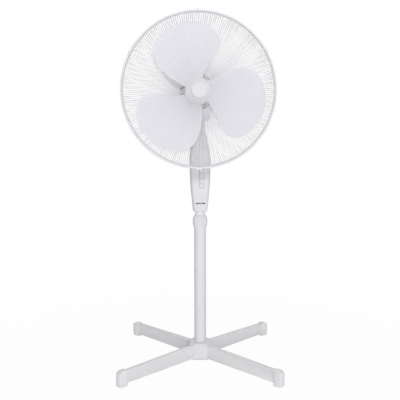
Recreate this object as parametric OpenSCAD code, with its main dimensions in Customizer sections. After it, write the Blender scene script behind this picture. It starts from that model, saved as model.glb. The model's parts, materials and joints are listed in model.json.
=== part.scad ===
// Pedestal fan: cross feet, telescopic column, leaf-shaped control housing, tilting and
// oscillating head with a wire guard and three broad blades.
// Millimetres. +Z is up, the blades face -Y, and the origin is on the floor under the column.

/* [Feet and hub] */
// Reach of each foot from the column axis
foot_reach = 313; // [280:1:340]
// Thickness of a foot bar
bar_w = 13; // [10:0.5:15]
// Height of a foot bar at the hub
bar_h = 40; // [34:1:46]
// Height of a foot bar at its tip
bar_tip_h = 34; // [28:1:40]
// Clearance between the floor and the foot bars
bar_lift = 8; // [7:0.5:14]
// Length of a foot cap along its bar
cap_l = 25; // [18:1:40]
// Wall of a foot cap
cap_wall = 2.4; // [1.6:0.1:3]
// Width of the hub across its flats
hub_side = 70; // [66:1:84]
// Diameter of the round flange on the hub
flange_d = 68; // [60:1:80]
// Height of the spigot that the column slides over
spigot_l = 45; // [30:1:60]
// Turn of the cross of feet about the column
stand_turn = -3.5; // [-10:0.5:10]

/* [Column] */
// Outer diameter of the fixed tube
tube_d = 35.5; // [35:0.1:37]
// Wall of the fixed tube
tube_wall = 1.5; // [1.2:0.1:1.7]
// Length of the fixed tube
tube_l = 355; // [325:1:420]
// Outer diameter of the sliding tube
mast_d = 28; // [26.5:0.1:28.2]
// Wall of the sliding tube
mast_wall = 1.2; // [1:0.1:2]
// Height of the locking collar
collar_h = 37; // [35:1:45]
// Gap between the collar and the control housing when the fan is at its lowest
parked_gap = 10; // [5:1:20]

/* [Control housing] */
// Greatest width of the control housing
housing_w = 60; // [56:1:72]
// Greatest depth of the control housing
housing_d = 56; // [54:1:66]
// Height of the control housing
housing_h = 263; // [260:1:300]
// Wall of the control housing
housing_wall = 2.4; // [2:0.1:3]
// Width of a button
button_w = 14; // [10:0.5:16]
// Height of a button
button_h = 11; // [8:0.5:13]
// Spacing of the buttons
button_pitch = 14.5; // [14:0.5:18]
// Travel of a button
button_travel = 2.5; // [1:0.1:3]

/* [Neck] */
// Width of the tilt yoke
yoke_w = 46; // [40:1:52]
// Radius of the tilt knuckle
knuckle_r = 11; // [9:0.5:12]
// Width of the tilt knuckle
knuckle_w = 20; // [16:1:24]
// Diameter of the tilt bolt
tilt_bolt_d = 8; // [6:0.5:9]
// Height of the motor axis above the tilt axis
motor_rise = 70; // [70:1:80]
// Sideways offset of the motor axis from the column
motor_x = -10; // [-12:0.5:-8]
// Diameter of the post that the head swings on
post_d = 10; // [8:0.5:11]

/* [Motor] */
// Diameter of the motor's front face
motor_d = 104.6; // [104:0.2:112]
// Distance of the motor's front face ahead of the column axis
motor_front = 58; // [56:1:66]
// Diameter of the motor shaft
shaft_d = 8; // [7:0.5:9]
// Radius of the rotor
rotor_r = 27.5; // [24:0.5:29]
// Diameter of the threaded boss that carries the rear guard
boss_d = 42; // [38:1:46]
// Length of the rear motor cover behind the column axis
cover_back = 70; // [68:1:90]
// Wall of the rear motor cover
cover_wall = 2.5; // [2:0.1:3]

/* [Impeller] */
// Diameter over the blade tips
blade_d = 386; // [340:2:390]
// Number of blades
blade_count = 3; // [3:1:3]
// Angle that one blade takes up at its root
blade_spread = 89; // [60:1:100]
// Depth of a blade from its leading to its trailing edge
blade_depth = 36; // [24:1:36]
// Thickness of a blade
blade_t = 2.2; // [1.6:0.1:3]
// Radius of the impeller hub
impeller_hub_r = 36.5; // [34:0.5:42]
// Height of the impeller hub
impeller_hub_h = 27; // [24:1:30]

/* [Guard] */
// Outer diameter of the guard
guard_d = 425; // [418:1:440]
// Depth of the rear guard from the motor face to its rim
rear_depth = 65.4; // [60:0.2:75]
// Rise of the front guard from its rim to its centre
front_dome = 21; // [15:1:40]
// Number of wires in each half of the guard
wire_count = 48; // [36:4:60]
// Diameter of a guard wire
wire_d = 2.2; // [1.8:0.1:2.6]
// Diameter of the two rim wires
rim_wire_d = 5; // [4:0.2:6]
// Radius of the rounded edge of the rear guard
edge_r = 46; // [35:1:50]
// Radius of the plain disc at the centre of the front guard
badge_r = 22; // [18:1:36]

/* [Hidden] */
$fn = 64;

// Clearances
fit = 0.15;      // between fixed pieces that slide together at assembly
run_fit = 0.08;  // radial play of a shaft or tube in its bore
air = 0.3;       // between pieces that move past each other
eps = 0.01;      // overshoot of a cut
far = 600;       // longer than any piece that a half-space cut has to clear

// Colours
white = [0.93, 0.93, 0.94];
shade = [0.86, 0.87, 0.9];
grey = [0.6, 0.61, 0.63];
steel = [0.72, 0.73, 0.75];
dark = [0.25, 0.25, 0.27];
copper = [0.72, 0.42, 0.2];
green = [0.2, 0.42, 0.28];

// Stand, from the floor up
bar_end = foot_reach - cap_wall - air;
hub_roof = 3;
flange_t = 4;
hub_body_top = bar_lift + bar_h + hub_roof;
hub_top = hub_body_top + flange_t;
spigot_top = hub_top + spigot_l;
plate_t = 2.5;
base_screw_r = 24;
base_screw_l = 20;
tie_d = 8;
tie_head = 4;
nut_h = 6.5;
nut_flats = 13;
tube_r = tube_d / 2;
tube_bore_r = tube_r - tube_wall;
tube_top = hub_top + tube_l;

// Collar and mast
mast_r = mast_d / 2;
collar_skirt = 5;
collar_z = tube_top - collar_skirt;
collar_top = collar_z + collar_h;
collet_depth = 25;
collet_shoulder = 2;
collet_r = tube_r - 0.55;
collet_top = collar_top - 6;
collar_foot_r = tube_r + air + 1.6;
collar_top_r = collet_r + air;
collar_swell = 0.6;
collar_bulge = 3;
wing_w = 21;
mast_foot = spigot_top + air;
bush_h = 18;
housing_z = collar_top + parked_gap;
housing_top = housing_z + housing_h;
mast_top = housing_z + 0.72 * housing_h;

// Control housing
housing_y = -2;
split_y = housing_y + 3;
column_w = knuckle_w - 1;
column_d = 18;
slot_w = 27;
slot_h = 3.8;
slot_z = housing_z + 25;
button_x = 3.4;
buttons_z = housing_z + 77;
board_t = 1.6;
board_y = -mast_r - 2.2;
switch_h = 3;
peg_x = -10;
peg_r = 1.3;
peg_rows = [buttons_z - 9, buttons_z + 2.4 * button_pitch];
flange_w = 1.2;
housing_screw_l = 22;
screw_x = housing_w / 2 - 11;
screw_rows = [housing_z + 52, housing_z + 165];
gland_z = housing_z + 14;

// Neck
tilt_z = housing_top + knuckle_r + 1;
plate_z = tilt_z + knuckle_r + 1.3;
yoke_top = plate_z + 4.7;
motor_z = tilt_z + motor_rise;
post_r = post_d / 2;
post_spacer = 5.7;
post_l = 34;

// Oscillating gear: the crank turns on the head and its link arm pulls on the yoke's stud
stud_x = -20;
stud_y = 4;
crank_r = 11.5;
crank_x = -9;
crank_y = 26;
gear_module = 0.8;
pinion_teeth = 10;
crank_teeth = 36;
worm_r = 4.5;
wheel_r = 12;
wheel_teeth = 24;
wheel_t = 8;
wheel_x = motor_x + worm_r + air + wheel_r;
mesh_gap = gear_module * (pinion_teeth + crank_teeth) / 2;
wheel_y = crank_y - sqrt(mesh_gap * mesh_gap - (wheel_x - crank_x) * (wheel_x - crank_x));
gear_pin_r = 4;
link_pin_r = 2;
link_t = 3;
link_z = yoke_top + 1.5;
disc_z = link_z + link_t + 0.5;
disc_t = 3;
case_wall = 2.5;
case_low = disc_z + disc_t + 0.7;
case_floor = yoke_top + post_l + 1;
crank_reach = gear_module * (crank_teeth / 2 + 1);
case_x = [crank_x - crank_reach - case_wall - air, wheel_x + wheel_r + case_wall + 0.7];
case_y = [-9, crank_y + crank_reach + case_wall + air];
case_top = motor_z + 14;
gear_z = case_floor + 3;
gear_t = 6;

// Motor, measured forward along its axis from the column
shield_wall = 3;
motor_back = 12;
shield_split = 36;
skirt_r = motor_d / 2 - 3.3;
stator_r = skirt_r - shield_wall - fit;
stator_z = [24, 45.5];
stator_bore = rotor_r + 0.5;
slot_count = 8;
coil_l = 34;
bearing_r = 9;
bearing_l = 6;
bearing_boss_r = 12;
shaft_r = shaft_d / 2;
bolt_ring_r = stator_r - 2.6;
bolt_r = 2;
bolt_head = 1.2;
vent_w = 4;
front_vent_l = 7;
rear_vent_l = 16;
cover_r = motor_d / 2 + fit + cover_wall;
cover_bend = 2.6;
cover_front = motor_front - 2;
shroud_r = 40;
shroud_y = 6;
knob_x = wheel_x;
knob_y = wheel_y;
rod_r = 2;
knob_base_r = 5;
knob_cover_r = cover_radius(knob_y - knob_base_r);
knob_side = knob_x - knob_base_r - motor_x;
cover_peak = motor_z + sqrt(knob_cover_r * knob_cover_r - knob_side * knob_side);

// Impeller and guard, measured forward along the motor axis
guard_plate_t = 1.5;
guard_plate_r = boss_d / 2 + 15;
boss_l = 10;
nut_t = 6;
impeller_z = motor_front + boss_l + 2;
impeller_front = impeller_z + impeller_hub_h;
impeller_bore = shaft_r + 0.05;
hub_wall = 2.2;
blade_z = impeller_z + 16;
nose_l = 12;
wire_r = wire_d / 2;
rim_wire_r = rim_wire_d / 2;
rim_r = guard_d / 2 - rim_wire_r;
rear_rim_z = motor_front + rear_depth;
front_rim_z = rear_rim_z + rim_wire_d + 0.2;
wire_z = motor_front + guard_plate_t + wire_r - 0.3;
wire_start = guard_plate_r - 3;
side_r = rim_r - rim_wire_r + wire_r + 0.4;
edge_x = side_r - edge_r;
edge_z = rear_rim_z - 12;
dome_r = (rim_r * rim_r + front_dome * front_dome) / (2 * front_dome);
dome_z = front_rim_z + front_dome - dome_r;
ring_wire_r = 1.6;
splice = 1;
splice_grow = 0.05;
clip_angles = [30, 90, 150, 210, 330];

// ---------- helpers ----------

function arc(x, y, r, from, to, steps = 8) =
    [for (i = [0:steps]) let (a = from + (to - from) * i / steps) [x + r * cos(a), y + r * sin(a)]];

module tube(outer, inner, length) {
    difference() {
        cylinder(r = outer, h = length);
        translate([0, 0, -eps]) cylinder(r = inner, h = length + 2 * eps);
    }
}

// Children are drawn as seen from the front, with z forward from the column axis.
module on_motor_axis() {
    translate([motor_x, 0, motor_z]) rotate([90, 0, 0]) children();
}

module around(count, first = 0) {
    for (i = [0:count - 1]) rotate([0, 0, first + i * 360 / count]) children();
}

module rounded_square(w, d, r) {
    square([w - 2 * r, d], center = true);
    square([w, d - 2 * r], center = true);
    for (x = [-1, 1], y = [-1, 1]) translate([x * (w / 2 - r), y * (d / 2 - r)]) circle(r = r);
}

// Solid through a list of rings, each a closed strip with as many points going as coming back
module loft(rings) {
    n = len(rings[0]);
    last = (len(rings) - 1) * n;
    sides = [for (k = [0:n:last - n], i = [0:n - 1]) let (a = k + i, b = k + (i + 1) % n)
        each [[a, a + n, b + n], [a, b + n, b]]];
    start = [for (i = [0:n / 2 - 2]) each [[i, i + 1, n - 2 - i], [i, n - 2 - i, n - 1 - i]]];
    end = [for (f = start) [last + f[2], last + f[1], last + f[0]]];
    polyhedron(points = [for (ring = rings) each ring], faces = concat(start, sides, end));
}

module hex(across_flats, height) {
    cylinder(r = across_flats / sqrt(3), h = height, $fn = 6);
}

// A screw or bolt along +Z with its head below z = 0
module screw(r, length, head_r, head_h) {
    cylinder(r = r, h = length);
    translate([0, 0, -head_h]) cylinder(r = head_r, h = head_h);
}

// ---------- feet and hub ----------

function bar_top(x) = bar_lift + bar_h
    - (bar_h - bar_tip_h) * max(0, x - hub_side / 2) / (bar_end - hub_side / 2);

module foot_bar(lap_low) {
    lap_z = bar_lift + bar_h / 2;
    seam = 5;
    lap = bar_w / 2 + fit;
    difference() {
        rotate([90, 0, 0]) linear_extrude(bar_w, center = true) polygon([
            [-bar_end, bar_lift], [bar_end, bar_lift], [bar_end, bar_top(bar_end)],
            [hub_side / 2, bar_top(0)], [-hub_side / 2, bar_top(0)], [-bar_end, bar_top(bar_end)]]);
        translate([-lap, -bar_w, lap_low ? lap_z - fit / 2 : bar_lift - bar_h])
            cube([2 * lap, 2 * bar_w, lap_low ? bar_h : 1.5 * bar_h + fit / 2]);
        translate([0, 0, bar_lift - eps]) cylinder(r = tie_d / 2 + fit, h = bar_h + 2 * eps);
        for (end = [0, 180], side = [-1, 1]) rotate([0, 0, end])
            translate([0, side * bar_w / 2, 0]) rotate([90, 0, 0])
                linear_extrude(1.2, center = true) polygon([
                    [hub_side / 2 + 2, bar_top(hub_side / 2 + 2) - seam],
                    [bar_end - cap_l, bar_top(bar_end - cap_l) - seam],
                    [bar_end - cap_l, bar_top(bar_end - cap_l) - seam - 1],
                    [hub_side / 2 + 2, bar_top(hub_side / 2 + 2) - seam - 1]]);
    }
}

module foot_bar_lower() {
    color(shade) rotate([0, 0, stand_turn + 45]) foot_bar(true);
}

module foot_bar_upper() {
    color(shade) rotate([0, 0, stand_turn + 135]) foot_bar(false);
}

module foot_cap() {
    start = foot_reach - cap_l;
    top = bar_top(start) + cap_wall;
    nose = 12;
    toe = 4;
    difference() {
        rotate([90, 0, 0]) linear_extrude(bar_w + 2 * (cap_wall + fit), center = true)
            polygon(concat(
                [[start, 0]],
                arc(foot_reach - toe, toe, toe, -90, 0, 4),
                arc(foot_reach - nose, top - nose, nose, 0, 90, 8),
                [[start, top]]));
        rotate([90, 0, 0]) linear_extrude(bar_w + 2 * fit, center = true) polygon([
            [start - 1, bar_lift - fit], [bar_end + fit, bar_lift - fit],
            [bar_end + fit, bar_top(bar_end) + fit], [start - 1, bar_top(start - 1) + fit]]);
    }
}

module foot_caps() {
    color(white) rotate([0, 0, stand_turn]) around(4, 45) foot_cap();
}

module hub_outline(side) {
    half = side / 2;
    face = hub_side * 0.29;
    polygon([for (a = [0:90:270], s = [-1, 1])
        [half * cos(a) - s * face * sin(a), half * sin(a) + s * face * cos(a)]]);
}

module base_hub() {
    color(white) rotate([0, 0, stand_turn]) difference() {
        union() {
            translate([0, 0, bar_lift]) linear_extrude(hub_body_top - bar_lift) hub_outline(hub_side);
            translate([0, 0, hub_body_top]) cylinder(r = flange_d / 2, h = flange_t - 1.5);
            translate([0, 0, hub_top - 1.5]) cylinder(r1 = flange_d / 2, r2 = flange_d / 2 - 1.5, h = 1.5);
            translate([0, 0, hub_top - eps]) cylinder(r = tube_bore_r - 0.1, h = spigot_l + eps);
        }
        for (a = [45, 135]) rotate([0, 0, a])
            translate([-hub_side, -bar_w / 2 - fit, bar_lift - 1])
                cube([2 * hub_side, bar_w + 2 * fit, bar_h + 1 + fit]);
        cylinder(r = tie_d / 2 + fit, h = spigot_top);
        translate([0, 0, spigot_top - nut_h - 0.5]) hex(nut_flats + 2 * fit, nut_h + 1);
        around(4) translate([base_screw_r, 0, bar_lift - eps]) cylinder(r = 2 + fit, h = base_screw_l);
    }
}

module base_plate() {
    color(grey) rotate([0, 0, stand_turn]) translate([0, 0, bar_lift - plate_t]) difference() {
        linear_extrude(plate_t) hub_outline(hub_side - 6);
        translate([0, 0, -eps]) cylinder(r = tie_d / 2 + fit, h = plate_t + 2 * eps);
        around(4) translate([base_screw_r, 0, -eps]) cylinder(r = 2 + fit, h = plate_t + 2 * eps);
    }
}

module base_screws() {
    color(steel) rotate([0, 0, stand_turn]) around(4)
        translate([base_screw_r, 0, bar_lift - plate_t]) screw(2, base_screw_l, 4, 2);
}

module tie_bolt() {
    color(steel) translate([0, 0, bar_lift - plate_t]) {
        cylinder(r = tie_d / 2, h = spigot_top - bar_lift + plate_t - 1);
        translate([0, 0, -tie_head]) hex(nut_flats, tie_head);
    }
}

module tie_nut() {
    color(steel) rotate([0, 0, stand_turn]) translate([0, 0, spigot_top - nut_h - 0.5]) difference() {
        hex(nut_flats, nut_h);
        translate([0, 0, -eps]) cylinder(r = tie_d / 2 + 0.02, h = nut_h + 2 * eps);
    }
}

// ---------- column ----------

module outer_tube() {
    color(white) translate([0, 0, hub_top]) tube(tube_r, tube_bore_r, tube_l);
}

module collet() {
    slit = 1.6;
    taper = 6;
    color(grey) difference() {
        union() {
            translate([0, 0, tube_top - collet_depth]) cylinder(r = tube_bore_r - 0.05, h = collet_depth);
            translate([0, 0, tube_top]) cylinder(r = tube_r, h = collet_shoulder);
            translate([0, 0, tube_top + collet_shoulder])
                cylinder(r = collet_r, h = collet_top - tube_top - collet_shoulder - taper);
            translate([0, 0, collet_top - taper]) cylinder(r1 = collet_r, r2 = collet_r - 1.5, h = taper);
        }
        translate([0, 0, tube_top - collet_depth - eps])
            cylinder(r = mast_r + run_fit, h = collet_top);
        for (a = [0, 90]) rotate([0, 0, a])
            translate([-tube_d, -slit / 2, tube_top + collet_shoulder + 4])
                cube([2 * tube_d, slit, collar_h]);
    }
}

// Outline of the collar, swollen by bulge at the middle of its height
function collar_outline(bulge, steps = 12) = [for (i = [0:steps]) let (t = i / steps)
    [collar_foot_r + (collar_top_r - collar_foot_r) * t + bulge * sin(180 * t), collar_z + collar_h * t]];

module collar_form(bulge) {
    rotate_extrude() polygon(concat(collar_outline(bulge), [[0, collar_top], [0, collar_z]]));
}

module lock_collar() {
    color(white) difference() {
        union() {
            collar_form(collar_swell);
            intersection() {
                collar_form(collar_bulge);
                translate([0, 0, collar_z]) linear_extrude(collar_h)
                    rounded_square(3 * tube_d, wing_w, wing_w / 4);
            }
        }
        rotate_extrude() polygon([
            [0, collar_top + 1], [mast_r + 0.5, collar_top + 1], [mast_r + 0.5, collet_top + air + 1],
            [collet_r + air, collet_top + air - 2], [collet_r + air, tube_top + collet_shoulder + air],
            [tube_r + air, tube_top + collet_shoulder + air], [tube_r + air, collar_z - 1],
            [0, collar_z - 1]]);
    }
}

module inner_tube() {
    color(steel) translate([0, 0, mast_foot]) tube(mast_r, mast_r - mast_wall, mast_top - mast_foot);
}

module guide_bush() {
    color(dark) translate([0, 0, mast_foot]) tube(tube_bore_r - run_fit, mast_r, bush_h);
}

// ---------- control housing ----------

// Share of the full width at a share t of the height: it swells to the middle and necks in above
function swell(t) = t < 0.5 ? 0.68 + 0.32 * sin(180 * t) : 1 - 0.55 * ease((t - 0.6) / 0.4);
function ease(s) = let (c = min(max(s, 0), 1)) c * c * (3 - 2 * c);

function housing_half(t, inset) =
    [housing_w / 2 * swell(t) - inset, housing_d / 2 * (0.1 + 0.9 * swell(t)) - inset];

function housing_ring(t, inset, z) = let (half = housing_half(t, inset), bend = 0.42)
    [for (i = [0:39]) let (a = i * 9, c = cos(a), s = sin(a))
        [half[0] * sign(c) * pow(abs(c), bend), housing_y + half[1] * sign(s) * pow(abs(s), bend), z]];

module housing_solid(inset, trim) {
    steps = 14;
    loft([for (k = [0:steps]) let (z = trim + (housing_h - 2 * trim) * k / steps)
        housing_ring(z / housing_h, inset, housing_z + z)]);
}

function housing_face(z) = housing_y - housing_half((z - housing_z) / housing_h, 0)[1];

module housing_shell() {
    difference() {
        housing_solid(0, 0);
        housing_solid(housing_wall, housing_wall + 1);
        translate([0, 0, housing_z - 1]) cylinder(r = mast_r + fit, h = 10);
        translate([0, 0, housing_top - 10]) linear_extrude(20)
            square([column_w + 2 * fit, column_d + 2 * fit], center = true);
    }
}

module housing_bosses(r) {
    for (side = [-1, 1], z = screw_rows)
        translate([side * screw_x, 0, z]) rotate([90, 0, 0])
            cylinder(r = r, h = 2 * housing_d, center = true);
}

module button_bay(z, grow, from, to) {
    translate([button_x - button_w / 2 - grow, from, z - button_h / 2 - grow])
        cube([button_w + 2 * grow, to - from, button_h + 2 * grow]);
}

function button_place(i) = buttons_z + i * button_pitch;

// Posts behind the front wall, each with a peg through the circuit board
module board_posts() {
    for (z = peg_rows) translate([peg_x, board_y, z]) rotate([90, 0, 0]) {
        translate([0, 0, board_t]) cylinder(r = 2.6, h = housing_d);
        translate([0, 0, -1]) cylinder(r = peg_r, h = housing_d);
    }
}

module control_front() {
    color(white) difference() {
        union() {
            housing_shell();
            intersection() {
                housing_solid(housing_wall / 2, 1);
                union() {
                    housing_bosses(3.6);
                    board_posts();
                }
            }
        }
        translate([-far / 2, split_y, 0]) cube([far, far, 2 * far]);
        housing_bosses_bore(1.4);
        for (i = [0:3]) button_bay(button_place(i), air, housing_y - housing_d, board_y - 4);
        translate([-slot_w / 2, housing_y - housing_d, slot_z - slot_h / 2])
            cube([slot_w, housing_d - mast_r - 3 - housing_y, slot_h]);
    }
}

module housing_bosses_bore(r) {
    for (side = [-1, 1], z = screw_rows)
        translate([side * screw_x, -mast_r + 2, z]) rotate([-90, 0, 0]) cylinder(r = r, h = housing_d);
}

module control_back() {
    color(white) difference() {
        union() {
            housing_shell();
            intersection() {
                housing_solid(housing_wall / 2, 1);
                housing_bosses(3.6);
            }
        }
        translate([-far / 2, split_y - far, 0]) cube([far, far, 2 * far]);
        housing_bosses_bore(1.8);
        for (side = [-1, 1], z = screw_rows)
            translate([side * screw_x, split_y + 12, z]) rotate([-90, 0, 0])
                cylinder(r = 3.4, h = housing_d);
        translate([0, mast_r + 1, gland_z]) rotate([-90, 0, 0]) cylinder(r = 4 + fit, h = housing_d);
    }
}

module housing_screws() {
    color(steel) for (side = [-1, 1], z = screw_rows)
        translate([side * screw_x, split_y + 12, z]) rotate([90, 0, 0]) screw(1.35, housing_screw_l, 3, 2);
}

module cord_gland() {
    face = housing_y + housing_half((gland_z - housing_z) / housing_h, 0)[1];
    color(dark) translate([0, face, gland_z]) rotate([-90, 0, 0]) difference() {
        union() {
            translate([0, 0, -housing_wall - 1]) cylinder(r = 4, h = housing_wall + 2);
            translate([0, 0, 1]) cylinder(r1 = 6.2, r2 = 4.6, h = 5);
        }
        translate([0, 0, -far / 2]) cylinder(r = 3, h = far);
    }
}

module circuit_board() {
    rise = 4 * button_pitch + 16;
    color(green) difference() {
        union() {
            translate([-13, board_y - board_t, buttons_z - 14]) cube([26, board_t, rise]);
            for (i = [0:3]) translate([button_x, board_y - board_t, button_place(i)]) rotate([90, 0, 0])
                cylinder(r = 3, h = switch_h);
            translate([-12, board_y - board_t - 4, buttons_z + 3.4 * button_pitch]) cube([9, 4, 9]);
        }
        for (z = peg_rows) translate([peg_x, board_y, z]) rotate([90, 0, 0])
            cylinder(r = peg_r + fit, h = 3 * board_t, center = true);
    }
}

module button(i) {
    face = housing_face(button_place(i));
    flange = face + housing_wall + 0.8;
    stem_end = board_y - board_t - switch_h - button_travel - air;
    color(shade) {
        button_bay(button_place(i), 0, face - 1.4, flange);
        button_bay(button_place(i), flange_w, flange, flange + flange_w);
        translate([button_x, stem_end, button_place(i)]) rotate([90, 0, 0])
            cylinder(r = 2, h = stem_end - flange - flange_w / 2);
    }
}

module button_off() { button(0); }
module button_low() { button(1); }
module button_medium() { button(2); }
module button_high() { button(3); }

// ---------- neck ----------

module neck_post() {
    stem_r = mast_r - mast_wall - 0.1;
    color(grey) difference() {
        union() {
            translate([0, 0, mast_top - 40]) cylinder(r = stem_r, h = 40);
            translate([0, 0, mast_top]) cylinder(r = mast_r, h = 3);
            translate([0, 0, mast_top + 3]) linear_extrude(tilt_z - mast_top - 3)
                square([column_w, column_d], center = true);
            translate([0, 0, tilt_z]) rotate([0, 90, 0])
                cylinder(r = knuckle_r, h = knuckle_w, center = true);
        }
        translate([0, 0, tilt_z]) rotate([0, 90, 0])
            cylinder(r = tilt_bolt_d / 2 + run_fit, h = 2 * knuckle_w, center = true);
    }
}

module tilt_yoke() {
    ear = yoke_w / 2 - knuckle_w / 2 - air;
    color(white) difference() {
        union() {
            for (side = [-1, 1]) translate([side * (yoke_w / 2 - ear / 2), 0, tilt_z])
                rotate([90, 0, 90]) linear_extrude(ear, center = true) {
                    circle(r = knuckle_r);
                    translate([-knuckle_r, 0]) square([2 * knuckle_r, plate_z - tilt_z + 1]);
                }
            translate([0, 0, plate_z]) linear_extrude(yoke_top - plate_z) rounded_square(yoke_w, 26, 4);
            translate([stud_x, stud_y, yoke_top - eps])
                cylinder(r = link_pin_r, h = link_z - yoke_top - air + eps);
        }
        translate([0, 0, tilt_z]) rotate([0, 90, 0])
            cylinder(r = tilt_bolt_d / 2 + 0.05, h = 2 * yoke_w, center = true);
        translate([0, 0, plate_z - eps]) cylinder(r = post_r + 0.02, h = yoke_top - plate_z + 2 * eps);
    }
}

module tilt_bolt() {
    color(steel) translate([-yoke_w / 2, 0, tilt_z]) rotate([0, 90, 0])
        screw(tilt_bolt_d / 2, yoke_w + 7, tilt_bolt_d * 0.85, 3);
}

module tilt_nut() {
    color(steel) translate([yoke_w / 2, 0, tilt_z]) rotate([0, 90, 0]) difference() {
        hex(nut_flats, 5);
        translate([0, 0, -eps]) cylinder(r = tilt_bolt_d / 2 + 0.02, h = 5 + 2 * eps);
    }
}

module pivot_post() {
    color(steel) {
        translate([0, 0, plate_z]) cylinder(r = post_r, h = yoke_top - plate_z + post_l);
        translate([0, 0, yoke_top + post_spacer - 1]) cylinder(r = post_r + 1.5, h = 1);
    }
}

// ---------- gearbox ----------

function tooth(k, teeth, m) = let (pitch = 360 / teeth, r = m * teeth / 2)
    [for (p = [[-0.3, -1.25], [-0.14, 0.9], [0.14, 0.9], [0.3, -1.25]])
        let (a = (k + p[0]) * pitch, q = r + p[1] * m) [q * cos(a), q * sin(a)]];

module gear(teeth, m, thickness) {
    linear_extrude(thickness) polygon([for (k = [0:teeth - 1]) each tooth(k, teeth, m)]);
}

module case_block(z0, z1, inset) {
    translate([case_x[0] + inset, case_y[0] + inset, z0])
        cube([case_x[1] - case_x[0] - 2 * inset, case_y[1] - case_y[0] - 2 * inset, z1 - z0]);
}

module gearbox_case() {
    boss_low = yoke_top + post_spacer + air;
    lid_z = case_top - case_wall;
    color(steel) difference() {
        union() {
            case_block(case_floor - 4, lid_z, 0);
            translate([0, 0, boss_low]) cylinder(r = post_r + 3.5, h = case_floor - boss_low);
            translate([crank_x, crank_y, case_low]) cylinder(r = gear_pin_r + 4, h = case_floor - case_low);
            rotate([0, 0, atan2(crank_y, crank_x)]) translate([post_r, -3, case_low + 6])
                cube([norm([crank_x, crank_y]) - post_r, 6, case_floor - case_low - 8]);
            on_motor_axis() translate([0, 0, -case_y[0] - 1])
                cylinder(r = lid_z - motor_z - air, h = motor_back + case_y[0] + 1);
        }
        case_block(case_floor, lid_z + 1, case_wall);
        translate([0, 0, boss_low - eps])
            cylinder(r = post_r + run_fit, h = yoke_top + post_l + air - boss_low);
        translate([crank_x, crank_y, case_low - eps])
            cylinder(r = gear_pin_r + run_fit, h = case_floor - case_low + 1);
        translate([wheel_x, wheel_y, case_floor - 2.5]) cylinder(r = gear_pin_r + run_fit, h = 10);
        on_motor_axis() translate([0, 0, -case_y[0] - case_wall - 1]) cylinder(r = worm_r + 0.5, h = 30);
        for (p = lid_holes()) translate([p[0], p[1], lid_z - 12]) cylinder(r = 1.2, h = 20);
    }
}

function lid_holes() =
    [for (x = [case_x[0] + 1.25, case_x[1] - 1.25]) for (y = [case_y[0] + 9, case_y[1] - 9]) [x, y]];

module gearbox_lid() {
    color(steel) difference() {
        case_block(case_top - case_wall, case_top, 0);
        translate([wheel_x, wheel_y, case_top - 10]) cylinder(r = gear_pin_r + air, h = 20);
        for (p = lid_holes()) translate([p[0], p[1], case_top - 10]) cylinder(r = 1.2, h = 20);
    }
}

module gearbox_screws() {
    color(steel) for (p = lid_holes())
        translate([p[0], p[1], case_top]) rotate([180, 0, 0]) screw(1.15, 12, 2, 1.6);
}

module worm_wheel() {
    bore = gear_pin_r + run_fit;
    color(white) translate([wheel_x, wheel_y, motor_z - wheel_t / 2]) difference() {
        gear(wheel_teeth, 2 * (wheel_r) / (wheel_teeth + 1.8), wheel_t);
        translate([0, 0, -eps]) cylinder(r = bore, h = wheel_t + 2 * eps);
    }
}

module clutch_shaft() {
    to_crank = atan2(crank_y - wheel_y, crank_x - wheel_x);
    color(steel) translate([wheel_x, wheel_y, 0]) difference() {
        union() {
            translate([0, 0, case_floor - 2.2])
                cylinder(r = gear_pin_r, h = gear_z - air - case_floor + 2.2);
            translate([0, 0, gear_z - air - eps]) rotate([0, 0, to_crank + 180 / pinion_teeth])
                gear(pinion_teeth, gear_module, gear_t + 2 * (air + eps));
            translate([0, 0, gear_z + gear_t + air])
                cylinder(r = gear_pin_r, h = motor_z + wheel_t / 2 + 3 - gear_z - gear_t - air);
        }
        translate([0, 0, motor_z - wheel_t / 2]) cylinder(r = rod_r + run_fit, h = 3 * wheel_t);
    }
}

module crank_gear() {
    to_pinion = atan2(wheel_y - crank_y, wheel_x - crank_x);
    color(steel) translate([crank_x, crank_y, 0]) {
        translate([0, 0, gear_z]) rotate([0, 0, to_pinion]) gear(crank_teeth, gear_module, gear_t);
        translate([0, 0, disc_z]) cylinder(r = gear_pin_r, h = gear_z + gear_t - disc_z);
        translate([0, 0, disc_z]) cylinder(r = crank_r + link_pin_r + 1, h = disc_t);
        translate([-crank_r, 0, link_z - 0.7]) cylinder(r = link_pin_r, h = disc_z - link_z + 0.7 + eps);
    }
}

module link_arm() {
    ends = [[crank_x - crank_r, crank_y], [stud_x, stud_y]];
    color(steel) translate([0, 0, link_z]) difference() {
        linear_extrude(link_t) {
            for (p = ends) translate(p) circle(r = 3.6);
            translate(ends[1]) rotate([0, 0, atan2(ends[0][1] - ends[1][1], ends[0][0] - ends[1][0])])
                translate([0, -2.6]) square([norm(ends[0] - ends[1]), 5.2]);
        }
        for (p = ends) translate([p[0], p[1], -eps])
            cylinder(r = link_pin_r + run_fit, h = link_t + 2 * eps);
    }
}

module clutch_rod() {
    color(steel) translate([knob_x, knob_y, motor_z]) cylinder(r = rod_r, h = cover_peak + 10 - motor_z);
}

module clutch_knob() {
    low = cover_peak + air;
    color(white) translate([knob_x, knob_y, low]) difference() {
        union() {
            cylinder(r = knob_base_r, h = 8);
            translate([0, 0, 5]) cylinder(r1 = 8, r2 = 9, h = 3);
            translate([0, 0, 8]) cylinder(r = 9, h = 6);
            translate([0, 0, 14]) cylinder(r1 = 9, r2 = 7, h = 1.5);
        }
        translate([0, 0, -eps]) cylinder(r = rod_r + 0.02, h = 10 + eps);
    }
}

// ---------- motor ----------

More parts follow.
